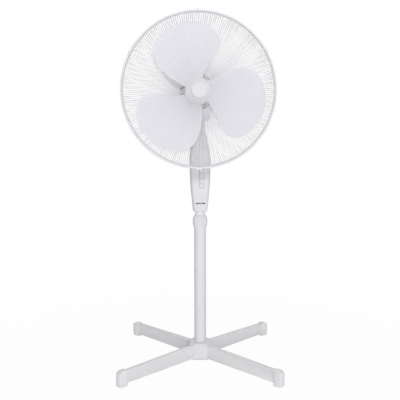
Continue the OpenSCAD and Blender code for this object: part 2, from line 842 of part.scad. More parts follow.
module motor_front_shield() {
    color(dark) on_motor_axis() difference() {
        rotate_extrude() polygon([
            [shaft_r + 1, motor_front + boss_l], [boss_d / 2, motor_front + boss_l],
            [boss_d / 2, motor_front],
            [motor_d / 2, motor_front], [motor_d / 2, motor_front - shield_wall],
            [skirt_r, motor_front - shield_wall - 3], [skirt_r, shield_split],
            [skirt_r - shield_wall, shield_split], [skirt_r - shield_wall, motor_front - shield_wall],
            [bearing_boss_r, motor_front - shield_wall],
            [bearing_boss_r, motor_front - shield_wall - bearing_l - 1],
            [bearing_r + 0.05, motor_front - shield_wall - bearing_l - 1],
            [bearing_r + 0.05, motor_front - shield_wall], [shaft_r + 1, motor_front - shield_wall]]);
        around(slot_count, 22.5) translate([guard_plate_r + 2, -vent_w / 2, motor_front - 5])
            cube([front_vent_l, vent_w, 10]);
        around(4, 45) translate([bolt_ring_r, 0, 0]) cylinder(r = bolt_r + fit, h = 2 * motor_front);
    }
}

module motor_rear_shield() {
    color(steel) on_motor_axis() difference() {
        rotate_extrude() polygon([
            [shaft_r + 1, motor_back], [skirt_r - 2, motor_back], [skirt_r, motor_back + 2],
            [skirt_r, shield_split], [skirt_r - shield_wall, shield_split],
            [skirt_r - shield_wall, motor_back + shield_wall], [bearing_boss_r, motor_back + shield_wall],
            [bearing_boss_r, motor_back + shield_wall + bearing_l + 1],
            [bearing_r + 0.05, motor_back + shield_wall + bearing_l + 1],
            [bearing_r + 0.05, motor_back + shield_wall], [shaft_r + 1, motor_back + shield_wall]]);
        around(12) translate([bearing_boss_r + 8, -vent_w / 2, motor_back - 5])
            cube([rear_vent_l, vent_w, 10]);
        around(4, 45) translate([bolt_ring_r, 0, 0]) cylinder(r = bolt_r + fit, h = 2 * motor_back);
    }
}

module stator_core() {
    height = stator_z[1] - stator_z[0];
    color(steel) on_motor_axis() translate([0, 0, stator_z[0]]) difference() {
        tube(stator_r, stator_bore, height);
        around(slot_count, 22.5) translate([stator_bore - 5, -5, -eps]) cube([16, 10, height + 2 * eps]);
        around(4, 45) translate([bolt_ring_r, 0, -eps]) cylinder(r = bolt_r + fit, h = height + 2 * eps);
    }
}

module stator_coils() {
    middle = (stator_z[0] + stator_z[1]) / 2;
    color(copper) on_motor_axis() around(slot_count, 22.5)
        translate([stator_bore + 1.5, -4.8, middle - coil_l / 2]) cube([9, 9.6, coil_l]);
}

module bearings() {
    color(steel) on_motor_axis() for (z = [motor_back + shield_wall, motor_front - shield_wall - bearing_l])
        translate([0, 0, z]) tube(bearing_r, shaft_r + 0.05, bearing_l);
}

module motor_bolts() {
    color(steel) on_motor_axis() around(4, 45) translate([bolt_ring_r, 0, motor_front])
        rotate([180, 0, 0]) screw(bolt_r, motor_front - motor_back, 3.5, bolt_head);
}

module run_capacitor() {
    color(shade) translate([case_x[0] + 4, crank_y - 6, case_top]) cube([24, 20, 18]);
}

function cover_profile(r, length, t) = [r * pow(1 - pow(t, cover_bend), 1 / cover_bend), 10 - length * t];
function cover_radius(y) = cover_profile(cover_r, cover_back + 10, (y + 10) / (cover_back + 10))[0];

module cover_form(r, length, front) {
    steps = 14;
    rotate_extrude() polygon(concat([[0, front], [r, front]],
        [for (i = [0:steps]) cover_profile(r, length, sin(90 * i / steps))]));
}

module motor_cover() {
    color(white) difference() {
        union() {
            on_motor_axis() cover_form(cover_r, cover_back + 10, cover_front);
            translate([0, shroud_y, yoke_top + air]) cylinder(r = shroud_r, h = 30);
        }
        on_motor_axis() cover_form(cover_r - cover_wall, cover_back + 10 - cover_wall, cover_front + 1);
        translate([0, shroud_y, yoke_top - 10]) cylinder(r = shroud_r - cover_wall, h = 40);
        translate([knob_x, knob_y, motor_z]) cylinder(r = rod_r + 2, h = 2 * cover_r);
        on_motor_axis() translate([0, 0, -2 * cover_back]) cylinder(r = 2 + fit, h = 2 * cover_back);
        on_motor_axis() for (row = [0:2]) around(12, 15) translate([18 + 9 * row, -1.5, -2 * cover_back])
            cube([6, 3, 2 * cover_back]);
    }
}

module cover_screw() {
    color(steel) on_motor_axis() translate([0, 0, -cover_back]) screw(2, cover_back - case_y[1], 4, 2);
}

// ---------- guard ----------

module ring(r, z, wire) {
    translate([0, 0, z]) rotate_extrude($fn = 180) translate([r, 0]) circle(r = wire, $fn = 24);
}

module wire_arc(r, from, to, thickness) {
    rotate([90, 0, 0]) rotate([0, 0, from]) rotate_extrude(angle = to - from, $fn = 180)
        translate([r, 0]) circle(r = thickness, $fn = 16);
}

module rear_guard() {
    reach = [edge_x - wire_start, edge_z - wire_z];
    slope = atan2(reach[1], reach[0]) - asin(edge_r / norm(reach));
    run = edge_x + edge_r * sin(slope) - wire_start;
    color(white) on_motor_axis() {
        around(wire_count, 180 / wire_count) {
            translate([wire_start, 0, wire_z]) rotate([0, 90 - slope, 0])
                cylinder(r = wire_r, h = run / cos(slope) + splice, $fn = 16);
            translate([edge_x, 0, edge_z]) wire_arc(edge_r, slope - 90, 0, wire_r + splice_grow);
            translate([side_r, 0, edge_z - splice])
                cylinder(r = wire_r, h = rear_rim_z - edge_z + splice, $fn = 16);
        }
        ring(rim_r, rear_rim_z, rim_wire_r);
        ring(side_r, edge_z + 5, ring_wire_r);
        translate([0, 0, motor_front]) tube(guard_plate_r, boss_d / 2 + fit, guard_plate_t);
    }
}

module guard_nut() {
    color(white) on_motor_axis() translate([0, 0, motor_front + guard_plate_t]) difference() {
        union() {
            cylinder(r = boss_d / 2 + 8, h = 2);
            cylinder(r = boss_d / 2 + 6, h = nut_t);
            around(6) translate([0, -2, 0]) cube([boss_d / 2 + 8, 4, nut_t]);
        }
        translate([0, 0, -eps]) cylinder(r = boss_d / 2 + 0.05, h = nut_t + 2 * eps);
    }
}

module front_guard() {
    rim_angle = 90 - asin(rim_r / dome_r);
    color(white) on_motor_axis() {
        around(wire_count, 180 / wire_count) translate([0, 0, dome_z])
            wire_arc(dome_r, rim_angle, 90 - asin((badge_r - 4) / dome_r), wire_r);
        ring(rim_r, front_rim_z, rim_wire_r);
        translate([0, 0, front_rim_z + front_dome - 1.5]) cylinder(r = badge_r - 2, h = 3);
    }
}

module guard_badge() {
    color(white) on_motor_axis() translate([0, 0, front_rim_z + front_dome + 1.5]) {
        cylinder(r = badge_r, h = 1.5);
        translate([0, 0, 1.5]) cylinder(r1 = badge_r, r2 = badge_r - 2, h = 1);
    }
}

module rim_clip(width) {
    low = rear_rim_z - rim_wire_r - 1.6;
    high = front_rim_z + rim_wire_r + 1.6;
    rotate([90, 0, 0]) linear_extrude(width, center = true) difference() {
        translate([rim_r - 2, low]) square([rim_wire_r + 4, high - low]);
        for (z = [rear_rim_z, front_rim_z]) translate([rim_r, z]) circle(r = rim_wire_r + fit);
        translate([rim_r - 3, rear_rim_z]) square([3, front_rim_z - rear_rim_z]);
    }
}

module guard_clips() {
    color(shade) on_motor_axis() for (a = clip_angles) rotate([0, 0, a]) rim_clip(12);
}

module guard_lock() {
    color(shade) on_motor_axis() rotate([0, 0, 270]) difference() {
        rim_clip(16);
        translate([rim_r, 0, (rear_rim_z + front_rim_z) / 2]) rotate([0, 90, 0])
            cylinder(r = 1.5 + fit, h = 20);
    }
}

module guard_screw() {
    color(dark) on_motor_axis() rotate([0, 0, 270])
        translate([rim_r + rim_wire_r + 2, 0, (rear_rim_z + front_rim_z) / 2]) rotate([0, -90, 0])
            screw(1.5, 2, 3, 2);
}

// ---------- rotor and impeller ----------

module rotor_shaft() {
    rear = -wheel_y - 9;
    color(steel) on_motor_axis() {
        translate([0, 0, rear]) cylinder(r = shaft_r, h = impeller_front + nose_l - 3 - rear);
        for (i = [0:3]) translate([0, 0, rear + 1 + 4 * i]) cylinder(r = worm_r, h = 2.4);
    }
}

module rotor_core() {
    color(steel) on_motor_axis() translate([0, 0, stator_z[0]])
        tube(rotor_r, shaft_r, stator_z[1] - stator_z[0]);
}

// A blade is a grid of points: t runs from root to tip and u from the leading to the trailing edge
function fullness(t) = sqrt(1 - pow(t, 5));
function blade_point(t, u, lift) =
    let (root = impeller_hub_r - 1.5,
         r = root + (blade_d / 2 - root) * t,
         a = 121 - 30 * t + 14 * t * t + u * blade_spread / 2 * fullness(t),
         rise = (0.66 + 0.34 * sin(90 * min(1, 2 * t))) * blade_depth / 2,
         camber = 5 * (1 - u * u) * fullness(t))
    [r * cos(a), r * sin(a), blade_z + rise * u * fullness(t) - camber + lift];

module blade() {
    spans = 14;
    chords = 8;
    across = [for (j = [0:chords]) -1 + 2 * j / chords];
    loft([for (i = [0:spans]) let (t = 0.998 * sin(90 * i / spans), half = blade_t / 2 * (1 - 0.4 * t))
        concat([for (u = across) blade_point(t, u, -half)],
            [for (j = [chords:-1:0]) blade_point(t, across[j], half)])]);
}

module impeller_hub() {
    difference() {
        rotate_extrude() polygon(concat(
            [[0, impeller_z + 4], [shaft_r + 5, impeller_z + 4], [shaft_r + 5, impeller_front - 3],
             [impeller_hub_r - 8, impeller_front - 3], [impeller_hub_r - hub_wall, impeller_front - 9],
             [impeller_hub_r - hub_wall, impeller_z], [impeller_hub_r, impeller_z]],
            arc(impeller_hub_r - 6, impeller_front - 6, 6, 0, 90, 6),
            [[0, impeller_front]]));
        translate([0, 0, impeller_z - 1]) cylinder(r = impeller_bore, h = impeller_hub_h + 2);
    }
}

module impeller() {
    color(shade) on_motor_axis() {
        impeller_hub();
        around(blade_count) blade();
    }
}

module spinner_nut() {
    color(white) on_motor_axis() translate([0, 0, impeller_front]) difference() {
        union() {
            cylinder(r = 13, h = nose_l - 4);
            translate([0, 0, nose_l - 4]) cylinder(r1 = 13, r2 = 9, h = 4);
            around(6) translate([12.6, 0, 0]) cylinder(r = 1.6, h = nose_l - 5);
        }
        translate([0, 0, -eps]) cylinder(r = shaft_r + 0.02, h = nose_l - 3 + 0.3);
    }
}

foot_bar_lower();
foot_bar_upper();
foot_caps();
base_hub();
base_plate();
base_screws();
tie_bolt();
tie_nut();
outer_tube();
collet();
lock_collar();
inner_tube();
guide_bush();
control_front();
control_back();
circuit_board();
housing_screws();
cord_gland();
neck_post();
button_off();
button_low();
button_medium();
button_high();
tilt_yoke();
tilt_bolt();
tilt_nut();
pivot_post();
gearbox_case();
gearbox_lid();
gearbox_screws();
motor_front_shield();
motor_rear_shield();
stator_core();
stator_coils();
bearings();
motor_bolts();
run_capacitor();
motor_cover();
cover_screw();
rear_guard();
guard_nut();
front_guard();
guard_badge();
guard_clips();
guard_lock();
guard_screw();
rotor_shaft();
rotor_core();
impeller();
spinner_nut();
worm_wheel();
clutch_shaft();
crank_gear();
link_arm();
clutch_rod();
clutch_knob();
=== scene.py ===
"""White pedestal fan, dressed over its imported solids: finishes, fine shapes, studio and camera.

Lengths are in metres, angles in degrees, and depths count forward from the column.
"""
import json
import logging
import math
from dataclasses import dataclass, field
from enum import Enum
from typing import Callable, Iterable, Protocol, Sequence, Union

import bmesh
import bpy
from mathutils import Matrix, Vector


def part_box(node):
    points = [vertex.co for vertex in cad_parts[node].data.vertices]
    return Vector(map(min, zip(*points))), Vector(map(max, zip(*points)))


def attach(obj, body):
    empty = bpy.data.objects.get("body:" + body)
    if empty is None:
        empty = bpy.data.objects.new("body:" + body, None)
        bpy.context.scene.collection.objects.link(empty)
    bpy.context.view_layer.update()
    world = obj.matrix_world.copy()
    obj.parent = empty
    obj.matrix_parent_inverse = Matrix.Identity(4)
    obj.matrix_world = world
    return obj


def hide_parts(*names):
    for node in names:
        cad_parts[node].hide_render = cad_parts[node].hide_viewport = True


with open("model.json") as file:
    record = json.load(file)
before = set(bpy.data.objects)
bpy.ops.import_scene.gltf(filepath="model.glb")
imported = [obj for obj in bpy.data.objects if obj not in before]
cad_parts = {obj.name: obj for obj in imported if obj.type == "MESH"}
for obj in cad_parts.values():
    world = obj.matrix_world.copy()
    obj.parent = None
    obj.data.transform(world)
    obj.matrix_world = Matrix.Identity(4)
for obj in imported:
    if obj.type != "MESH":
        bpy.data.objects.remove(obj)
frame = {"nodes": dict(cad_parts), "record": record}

LOG = logging.getLogger("pedestal_fan")
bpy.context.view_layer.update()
Profile = Sequence[tuple[float, float]]
Triple = tuple[float, float, float]
Term = Union["Number", float]


# ---------- places taken from the frame ----------


@dataclass(frozen=True)
class Span:
    """Lowest and highest corner of one or more CAD nodes at rest."""

    low: Vector
    high: Vector

    @classmethod
    def of(cls, *nodes: str) -> "Span":
        """Measures CAD nodes.

        Args:
            nodes: their names.

        Returns:
            the box round all of them.
        """
        boxes = [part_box(node) for node in nodes]
        low = Vector(min(b[0][i] for b in boxes) for i in range(3))
        high = Vector(max(b[1][i] for b in boxes) for i in range(3))
        return cls(low, high)

    @property
    def centre(self) -> Vector:
        """Middle of the box."""
        return (self.low + self.high) / 2

    @property
    def size(self) -> Vector:
        """Edge lengths of the box."""
        return self.high - self.low

    @property
    def depths(self) -> tuple[float, float]:
        """Back and front of the box, counted forward from the column."""
        return -self.high.y, -self.low.y


SLOT_OF_NODE = {part["node"]: part["material_slot"] for part in frame["record"]["subparts"]}
BODY_OF_NODE = {
    node: body for body, nodes in frame["record"]["behaviour"]["bodies"].items() for node in nodes
}


# ---------- shader maths ----------


class Board:
    """Node tree of one material or world, with one method that adds nodes."""

    def __init__(self, tree: bpy.types.NodeTree) -> None:
        """Starts from an empty tree.

        Args:
            tree: the node tree to fill.
        """
        self.tree = tree
        tree.nodes.clear()

    def node(self, kind: str, settings: dict | None = None, inputs: dict | None = None) -> bpy.types.Node:
        """Adds one node.

        Args:
            kind: Blender's name of the node type.
            settings: properties, set before anything is linked.
            inputs: values, Numbers or sockets by input name or index.

        Returns:
            the node.
        """
        made = self.tree.nodes.new(kind)
        for name, value in (settings or {}).items():
            setattr(made, name, value)
        for name, value in (inputs or {}).items():
            if isinstance(value, Number):
                value = value.socket
            if isinstance(value, bpy.types.NodeSocket):
                self.tree.links.new(value, made.inputs[name])
            else:
                made.inputs[name].default_value = value
        return made

    def number(
        self, kind: str, output: str, settings: dict | None = None, inputs: dict | None = None
    ) -> "Number":
        """Adds a node and takes one output as a Number.

        Args:
            kind: Blender's name of the node type.
            output: the output that is wanted.
            settings: as for node.
            inputs: as for node.

        Returns:
            the output, ready for arithmetic.
        """
        return Number(self, self.node(kind, settings, inputs).outputs[output])


class Number:
    """A value that varies over a surface; arithmetic on it adds Math nodes."""

    def __init__(self, board: Board, socket: bpy.types.NodeSocket) -> None:
        """Wraps one output socket.

        Args:
            board: the tree that the socket is in.
            socket: the output.
        """
        self.board = board
        self.socket = socket

    def _maths(self, operation: str, left: Term, right: Term) -> "Number":
        """Adds a Math node.

        Args:
            operation: Blender's name of the operation.
            left: first term.
            right: second term.

        Returns:
            its result.
        """
        return self.board.number("ShaderNodeMath", "Value", {"operation": operation}, {0: left, 1: right})

    def __add__(self, other: Term) -> "Number":
        """Sum."""
        return self._maths("ADD", self, other)

    def __radd__(self, other: float) -> "Number":
        """Sum with a plain number first."""
        return self._maths("ADD", other, self)

    def __sub__(self, other: Term) -> "Number":
        """Difference."""
        return self._maths("SUBTRACT", self, other)

    def __rsub__(self, other: float) -> "Number":
        """Difference from a plain number."""
        return self._maths("SUBTRACT", other, self)

    def __mul__(self, other: Term) -> "Number":
        """Product."""
        return self._maths("MULTIPLY", self, other)

    def __rmul__(self, other: float) -> "Number":
        """Product with a plain number first."""
        return self._maths("MULTIPLY", other, self)

    def highest(self, other: Term) -> "Number":
        """The greater of the two."""
        return self._maths("MAXIMUM", self, other)


# ---------- finishes ----------


@dataclass(frozen=True)
class Noise:
    """Soft noise: cycles a metre, octaves, depth of its relief in metres, and factors that draw it out."""

    scale: float
    detail: float
    depth: float = 0.0
    stretch: Triple | None = None

    def on(self, board: Board, place: bpy.types.NodeSocket) -> Number:
        """Adds the noise.

        Args:
            board: tree to add to.
            place: texture coordinates in metres.

        Returns:
            the noise, from 0 to 1.
        """
        if self.stretch:
            place = board.node(
                "ShaderNodeVectorMath", {"operation": "MULTIPLY"}, {0: place, 1: self.stretch}
            ).outputs["Vector"]
        return board.number(
            "ShaderNodeTexNoise", "Fac", None, {"Vector": place, "Scale": self.scale, "Detail": self.detail}
        )


class Grain(Enum):
    """Surface texture of a finish."""

    PEEL = Noise(900.0, 1.0, 0.00012)  # fine orange peel of sprayed or dipped paint
    MOULDED = Noise(2600.0, 2.0, 0.00006)  # spark-eroded texture of a moulded face
    CAST = Noise(1100.0, 4.0, 0.0003)  # coarse skin of die-cast metal
    BRUSHED = Noise(1.0, 2.0, 0.0001, (30, 30, 2600))  # long scratches of drawn or turned metal
    WOUND = Noise(1.0, 2.0, 0.0001, (900, 60, 900))  # turns of enamelled wire
    STACKED = Noise(1.0, 2.0, 0.0001, (4, 1500, 4))  # edges of stacked laminations


CLOUD = Noise(22.0, 3.0)  # slow drift of the colour
PATCH = Noise(140.0, 2.0)  # finer patches in colour and gloss
CLOUD_SHARE = 0.7  # share of the drift in the colour
PATCH_GLOSS = 0.12  # change of roughness over the patches
GRAIN_GLOSS = 0.06  # change of roughness over the grain
COAT_ROUGHNESS = 0.25


@dataclass(frozen=True)
class Finish:
    """One finish of the fan: colour, gloss and texture."""

    slot: str
    colour: Triple
    roughness: float
    grain: Grain
    metallic: float = 0.0
    coat: float = 0.0
    mottle: float = 0.03
    relief: float = 0.1
    gleam: float = 0.25

    def material(self) -> bpy.types.Material:
        """Builds the finish, or returns it where it is already built.

        Returns:
            the material.
        """
        name = self.slot + "_finish"
        known = bpy.data.materials.get(name)
        if known:
            return known
        made = bpy.data.materials.new(name)
        made.use_nodes = True
        board = Board(made.node_tree)
        place = board.node("ShaderNodeTexCoord").outputs["Object"]
        cloud, patch, height = (noise.on(board, place) for noise in (CLOUD, PATCH, self.grain.value))
        shade = 1 - self.mottle * (cloud * CLOUD_SHARE + patch * (1 - CLOUD_SHARE))
        tint = board.node(
            "ShaderNodeMix",
            {"data_type": "RGBA", "blend_type": "MULTIPLY"},
            {0: 1.0, 6: (*self.colour, 1), 7: shade},
        ).outputs[2]
        gloss = self.roughness + PATCH_GLOSS * (patch - 0.5) + GRAIN_GLOSS * (height - 0.5)
        bump = board.node(
            "ShaderNodeBump",
            inputs={"Strength": self.relief, "Distance": self.grain.value.depth, "Height": height},
        ).outputs["Normal"]
        shader = board.node(
            "ShaderNodeBsdfPrincipled",
            inputs={
                "Base Color": tint, "Roughness": gloss, "Metallic": self.metallic,
                "Coat Weight": self.coat, "Coat Roughness": COAT_ROUGHNESS,
                "Specular IOR Level": self.gleam, "Normal": bump,
            },
        )
        board.node("ShaderNodeOutputMaterial", inputs={"Surface": shader.outputs["BSDF"]})
        return made


FINISHES = {
    finish.slot: finish
    for finish in (
        Finish("feet_plastic", (0.86, 0.85, 0.88), 0.58, Grain.MOULDED),
        Finish("leg_metal", (0.82, 0.81, 0.83), 0.60, Grain.PEEL),
        Finish("tube_metal", (0.80, 0.79, 0.83), 0.66, Grain.PEEL, gleam=0.2),
        # lighter than the tube paint: painted light that offsets the housing's shade on the mast
        Finish("mast_metal", (0.87, 0.86, 0.90), 0.60, Grain.PEEL, gleam=0.2),
        Finish("housing_plastic", (0.77, 0.76, 0.80), 0.60, Grain.MOULDED),
        # darker than the housing: painted shade, since the upright button faces catch more light than the
        # leaning housing
        Finish("button_plastic", (0.74, 0.73, 0.77), 0.55, Grain.MOULDED),
        Finish("head_plastic", (0.88, 0.87, 0.90), 0.62, Grain.MOULDED),
        Finish("guard_metal", (0.83, 0.82, 0.85), 0.62, Grain.PEEL, gleam=0.2),
        Finish("rim_metal", (0.82, 0.81, 0.84), 0.6, Grain.PEEL),
        # darker copy of the rim paint: painted shade on the rear rim and on the ring inside the front rim
        Finish("rim_metal_painted_shade", (0.73, 0.72, 0.75), 0.62, Grain.PEEL, gleam=0.2),
        # the badge's white plastic, darkened: painted shade to match the shaded hub and wires round it
        Finish("badge_plastic_painted_shade", (0.73, 0.73, 0.75), 0.6, Grain.MOULDED),
        Finish("blade_plastic", (0.80, 0.79, 0.84), 0.62, Grain.MOULDED, mottle=0.015),
        Finish("inner_plastic", (0.10, 0.10, 0.105), 0.6, Grain.MOULDED),
        Finish("gear_plastic", (0.72, 0.70, 0.64), 0.5, Grain.MOULDED),
        Finish("board", (0.02, 0.10, 0.045), 0.45, Grain.PEEL, coat=0.3, mottle=0.2),
        Finish("steel", (0.42, 0.42, 0.43), 0.34, Grain.BRUSHED, metallic=1.0, mottle=0.08),
        Finish("motor_dark", (0.07, 0.07, 0.075), 0.5, Grain.CAST, mottle=0.2, relief=0.3),
        Finish("motor_metal", (0.40, 0.41, 0.43), 0.45, Grain.CAST, metallic=0.9, mottle=0.15, relief=0.3),
        Finish("core", (0.20, 0.20, 0.21), 0.5, Grain.STACKED, metallic=0.6, mottle=0.2, relief=0.6),
        Finish("copper", (0.55, 0.20, 0.06), 0.35, Grain.WOUND, metallic=0.7, mottle=0.2, relief=0.7),
    )
}


# ---------- meshes ----------

WELD = 2e-6  # points closer than this become one
SLIVER = 1e-6  # edges shorter than this are taken out
FLAT = 0.5  # degrees between neighbouring faces of one flat
PAST = 0.01  # how far a cutter reaches past what it cuts
BEVEL_STRIPS = 2  # strips across a rounded edge
CREASE = 35.0  # degrees above which an edge stays sharp
CORNER = 30.0  # degrees above which an edge is rounded
PLAIN_ROUND = 64  # segments round a small plain part
RIBBED_ROUND = 144  # segments round a ribbed part


def around(angle: float, r: float, z: float) -> Vector:
    """Point at an angle in radians, a radius and a height."""
    return Vector((r * math.cos(angle), r * math.sin(angle), z))


class Shape:
    """Points and faces of one mesh, gathered part by part."""

    def __init__(self) -> None:
        """Starts empty."""
        self.points: list[Vector] = []
        self.faces: list[tuple[int, ...]] = []

    def skin(
        self, rings: Sequence[Sequence[Vector]], loop: bool = False, wrap: bool = True, caps: bool = True
    ) -> None:
        """Joins rings of equal length.

        Args:
            rings: the rings in order.
            loop: join the last ring to the first.
            wrap: each ring is closed.
            caps: close both ends with a face.
        """
        base, count, n = len(self.points), len(rings), len(rings[0])
        for ring in rings:
            self.points.extend(Vector(p) for p in ring)
        for k in range(count if loop else count - 1):
            a, b = base + k * n, base + ((k + 1) % count) * n
            for i in range(n if wrap else n - 1):
                j = (i + 1) % n
                self.faces.append((a + i, a + j, b + j, b + i))
        if caps and not loop:
            last = base + (count - 1) * n
            self.faces.append(tuple(range(base + n - 1, base - 1, -1)))
            self.faces.append(tuple(range(last, last + n)))

    def revolve(
        self, profile: Profile, steps: int = 96, wobble: Callable[[float, float], float] | None = None
    ) -> None:
        """Turns a closed profile about Z.

        Args:
            profile: radius and height of its corners.
            steps: number of segments round.
            wobble: factor on the radius by angle and height, or None for a true round.
        """
        turns = [math.tau * i / steps for i in range(steps)]
        self.skin([
            [around(a, r * (wobble(a, z) if wobble else 1.0), z) for a in turns] for r, z in profile
        ], loop=True)

    def sweep(self, path: Sequence[Vector], side: Vector, radius: float, corners: int) -> None:
        """Runs a round wire along a flat path.

        Args:
            path: points of the centreline.
            side: unit vector square to the path's plane.
            radius: radius of the wire.
            corners: points round the wire.
        """
        rings = []
        for k, p in enumerate(path):
            along = (path[min(k + 1, len(path) - 1)] - path[max(k - 1, 0)]).normalized()
            up = along.cross(side)
            turns = (math.tau * i / corners for i in range(corners))
            rings.append([p + radius * (math.cos(a) * side + math.sin(a) * up) for a in turns])
        self.skin(rings)

    def block(self, low: Sequence[float], high: Sequence[float]) -> None:
        """Adds a box, as a cutter or a rib.

        Args:
            low: lowest corner.
            high: highest corner.
        """
        (x0, y0, z0), (x1, y1, z1) = low, high
        flat = [(x0, y0), (x1, y0), (x1, y1), (x0, y1)]
        self.skin([[Vector((x, y, z)) for x, y in flat] for z in (z0, z1)])

    def build(self, name: str, place: Matrix | None = None, crease: float = CREASE) -> bpy.types.Object:
        """Makes the Blender object.

        Args:
            name: its name.
            place: matrix from the shape's own axes to the frame.
            crease: angle in degrees above which an edge stays sharp.

        Returns:
            the object, at the origin with its place in its mesh.
        """
        mesh = bpy.data.meshes.new(name)
        mesh.from_pydata(self.points, [], self.faces)
        if place:
            mesh.transform(place)
        tidy_mesh(mesh, crease)
        made = bpy.data.objects.new(name, mesh)
        bpy.context.scene.collection.objects.link(made)
        return made


def tidy_mesh(mesh: bpy.types.Mesh, crease: float, flatten: float = 0.0) -> None:
    """Welds double points, turns faces outward and shades them smooth.

    Args:
        mesh: the mesh.
        crease: angle in degrees above which an edge stays sharp.
        flatten: angle in degrees below which neighbouring faces are merged.
    """
    edit = bmesh.new()
    edit.from_mesh(mesh)
    bmesh.ops.remove_doubles(edit, verts=edit.verts, dist=WELD)
    bmesh.ops.dissolve_degenerate(edit, edges=edit.edges, dist=SLIVER)
    if flatten:
        bmesh.ops.dissolve_limit(
            edit, angle_limit=math.radians(flatten), verts=edit.verts, edges=edit.edges
        )
    bmesh.ops.recalc_face_normals(edit, faces=edit.faces)
    edit.to_mesh(mesh)
    edit.free()
    mesh.polygons.foreach_set("use_smooth", [True] * len(mesh.polygons))
    mesh.set_sharp_from_angle(angle=math.radians(crease))


def settle(piece: bpy.types.Object) -> None:
    """Applies a piece's modifiers to its mesh.

    Args:
        piece: the object.
    """
    graph = bpy.context.evaluated_depsgraph_get()
    mesh = bpy.data.meshes.new_from_object(piece.evaluated_get(graph))
    piece.modifiers.clear()
    piece.data = mesh


def carve(piece: bpy.types.Object, *cutters: Shape, place: Matrix | None = None) -> None:
    """Cuts shapes out of a piece.

    Args:
        piece: the object that is changed.
        cutters: shapes to cut with.
        place: matrix from the cutters' axes to the frame.
    """
    for shape in cutters:
        tool = shape.build("cutter", place)
        cut = piece.modifiers.new("cut", "BOOLEAN")
        cut.operation, cut.solver, cut.object = "DIFFERENCE", "EXACT", tool
        settle(piece)
        bpy.data.objects.remove(tool)


def soften(piece: bpy.types.Object, width: float, angle: float = CORNER) -> None:
    """Rounds the sharp edges of a piece.

    Args:
        piece: the object.
        width: width of the rounding in metres.
        angle: angle in degrees above which an edge is rounded.
    """
    piece.data.polygons.foreach_set("use_smooth", [True] * len(piece.data.polygons))
    sharp = piece.data.attributes.get("sharp_edge")
    if sharp:
        piece.data.attributes.remove(sharp)
    bevel = piece.modifiers.new("rounding", "BEVEL")
    bevel.width, bevel.segments = width, BEVEL_STRIPS
    bevel.limit_method, bevel.angle_limit = "ANGLE", math.radians(angle)
    bevel.harden_normals = bevel.use_clamp_overlap = True
    settle(piece)


def dress(piece: bpy.types.Object, body: str, slot: str, *nodes: str, finish: str = "") -> None:
    """Gives a piece its finish and its body, and hides the CAD nodes that it stands for.

    Args:
        piece: the object.
        body: body that it rides on.
        slot: the record's slot, whose finish it takes where no other is given.
        nodes: CAD nodes that it replaces.
        finish: its finish, where that isn't the slot's own.
    """
    piece.data.materials.clear()
    piece.data.materials.append(FINISHES[finish or slot].material())
    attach(piece, body)
    if nodes:
        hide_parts(*nodes)
    LOG.info("%s: %d faces on %s", piece.name, len(piece.data.polygons), body)


def stand_in(piece: bpy.types.Object, node: str, finish: str = "") -> None:
    """Dresses a piece that replaces one CAD node, on that node's body and slot.

    Args:
        piece: the object.
        node: the node's name.
        finish: its finish, where that isn't the slot's own.
    """
    dress(piece, BODY_OF_NODE[node], SLOT_OF_NODE[node], node, finish=finish)


def rounded_node(node: str, width: float, finish: str = "") -> bpy.types.Object:
    """Takes over a CAD node's form and rounds its edges.

    Args:
        node: the node's name.
        width: width of the rounding in metres.
        finish: its finish, where that isn't the slot's own.

    Returns:
        the dressed piece.
    """
    mesh = frame["nodes"][node].data.copy()
    tidy_mesh(mesh, CORNER, FLAT)
    piece = bpy.data.objects.new(node + "_rounded", mesh)
    bpy.context.scene.collection.objects.link(piece)
    soften(piece, width)
    stand_in(piece, node, finish)
    return piece


def arc(x: float, y: float, r: float, start: float, end: float, steps: int) -> list[tuple[float, float]]:
    """Points on a circular arc.

    Args:
        x: centre.
        y: centre.
        r: radius.
        start: first angle in degrees.
        end: last angle in degrees.
        steps: number of chords.

    Returns:
        the points.
    """
    angles = (math.radians(start + (end - start) * i / steps) for i in range(steps + 1))
    return [(x + r * math.cos(a), y + r * math.sin(a)) for a in angles]


def circle_profile(r: float, z: float, wire: float, corners: int = 12) -> list[tuple[float, float]]:
    """Profile of a round wire bent to a ring of radius r at height z."""
    return arc(r, z, wire, 0, 360 - 360 / corners, corners - 1)


# ---------- head: guard, impeller, motor cover ----------


@dataclass(frozen=True)
class HeadAxis:
    """The motor axis, which the guard's centre gives."""

    x: float = Span.of("front_guard").centre.x
    z: float = Span.of("front_guard").centre.z

    @property
    def place(self) -> Matrix:
        """Matrix from axes seen from the front, with z forward, to the frame."""
        return Matrix.Translation((self.x, 0, self.z)) @ Matrix.Rotation(math.radians(90), 4, "X")


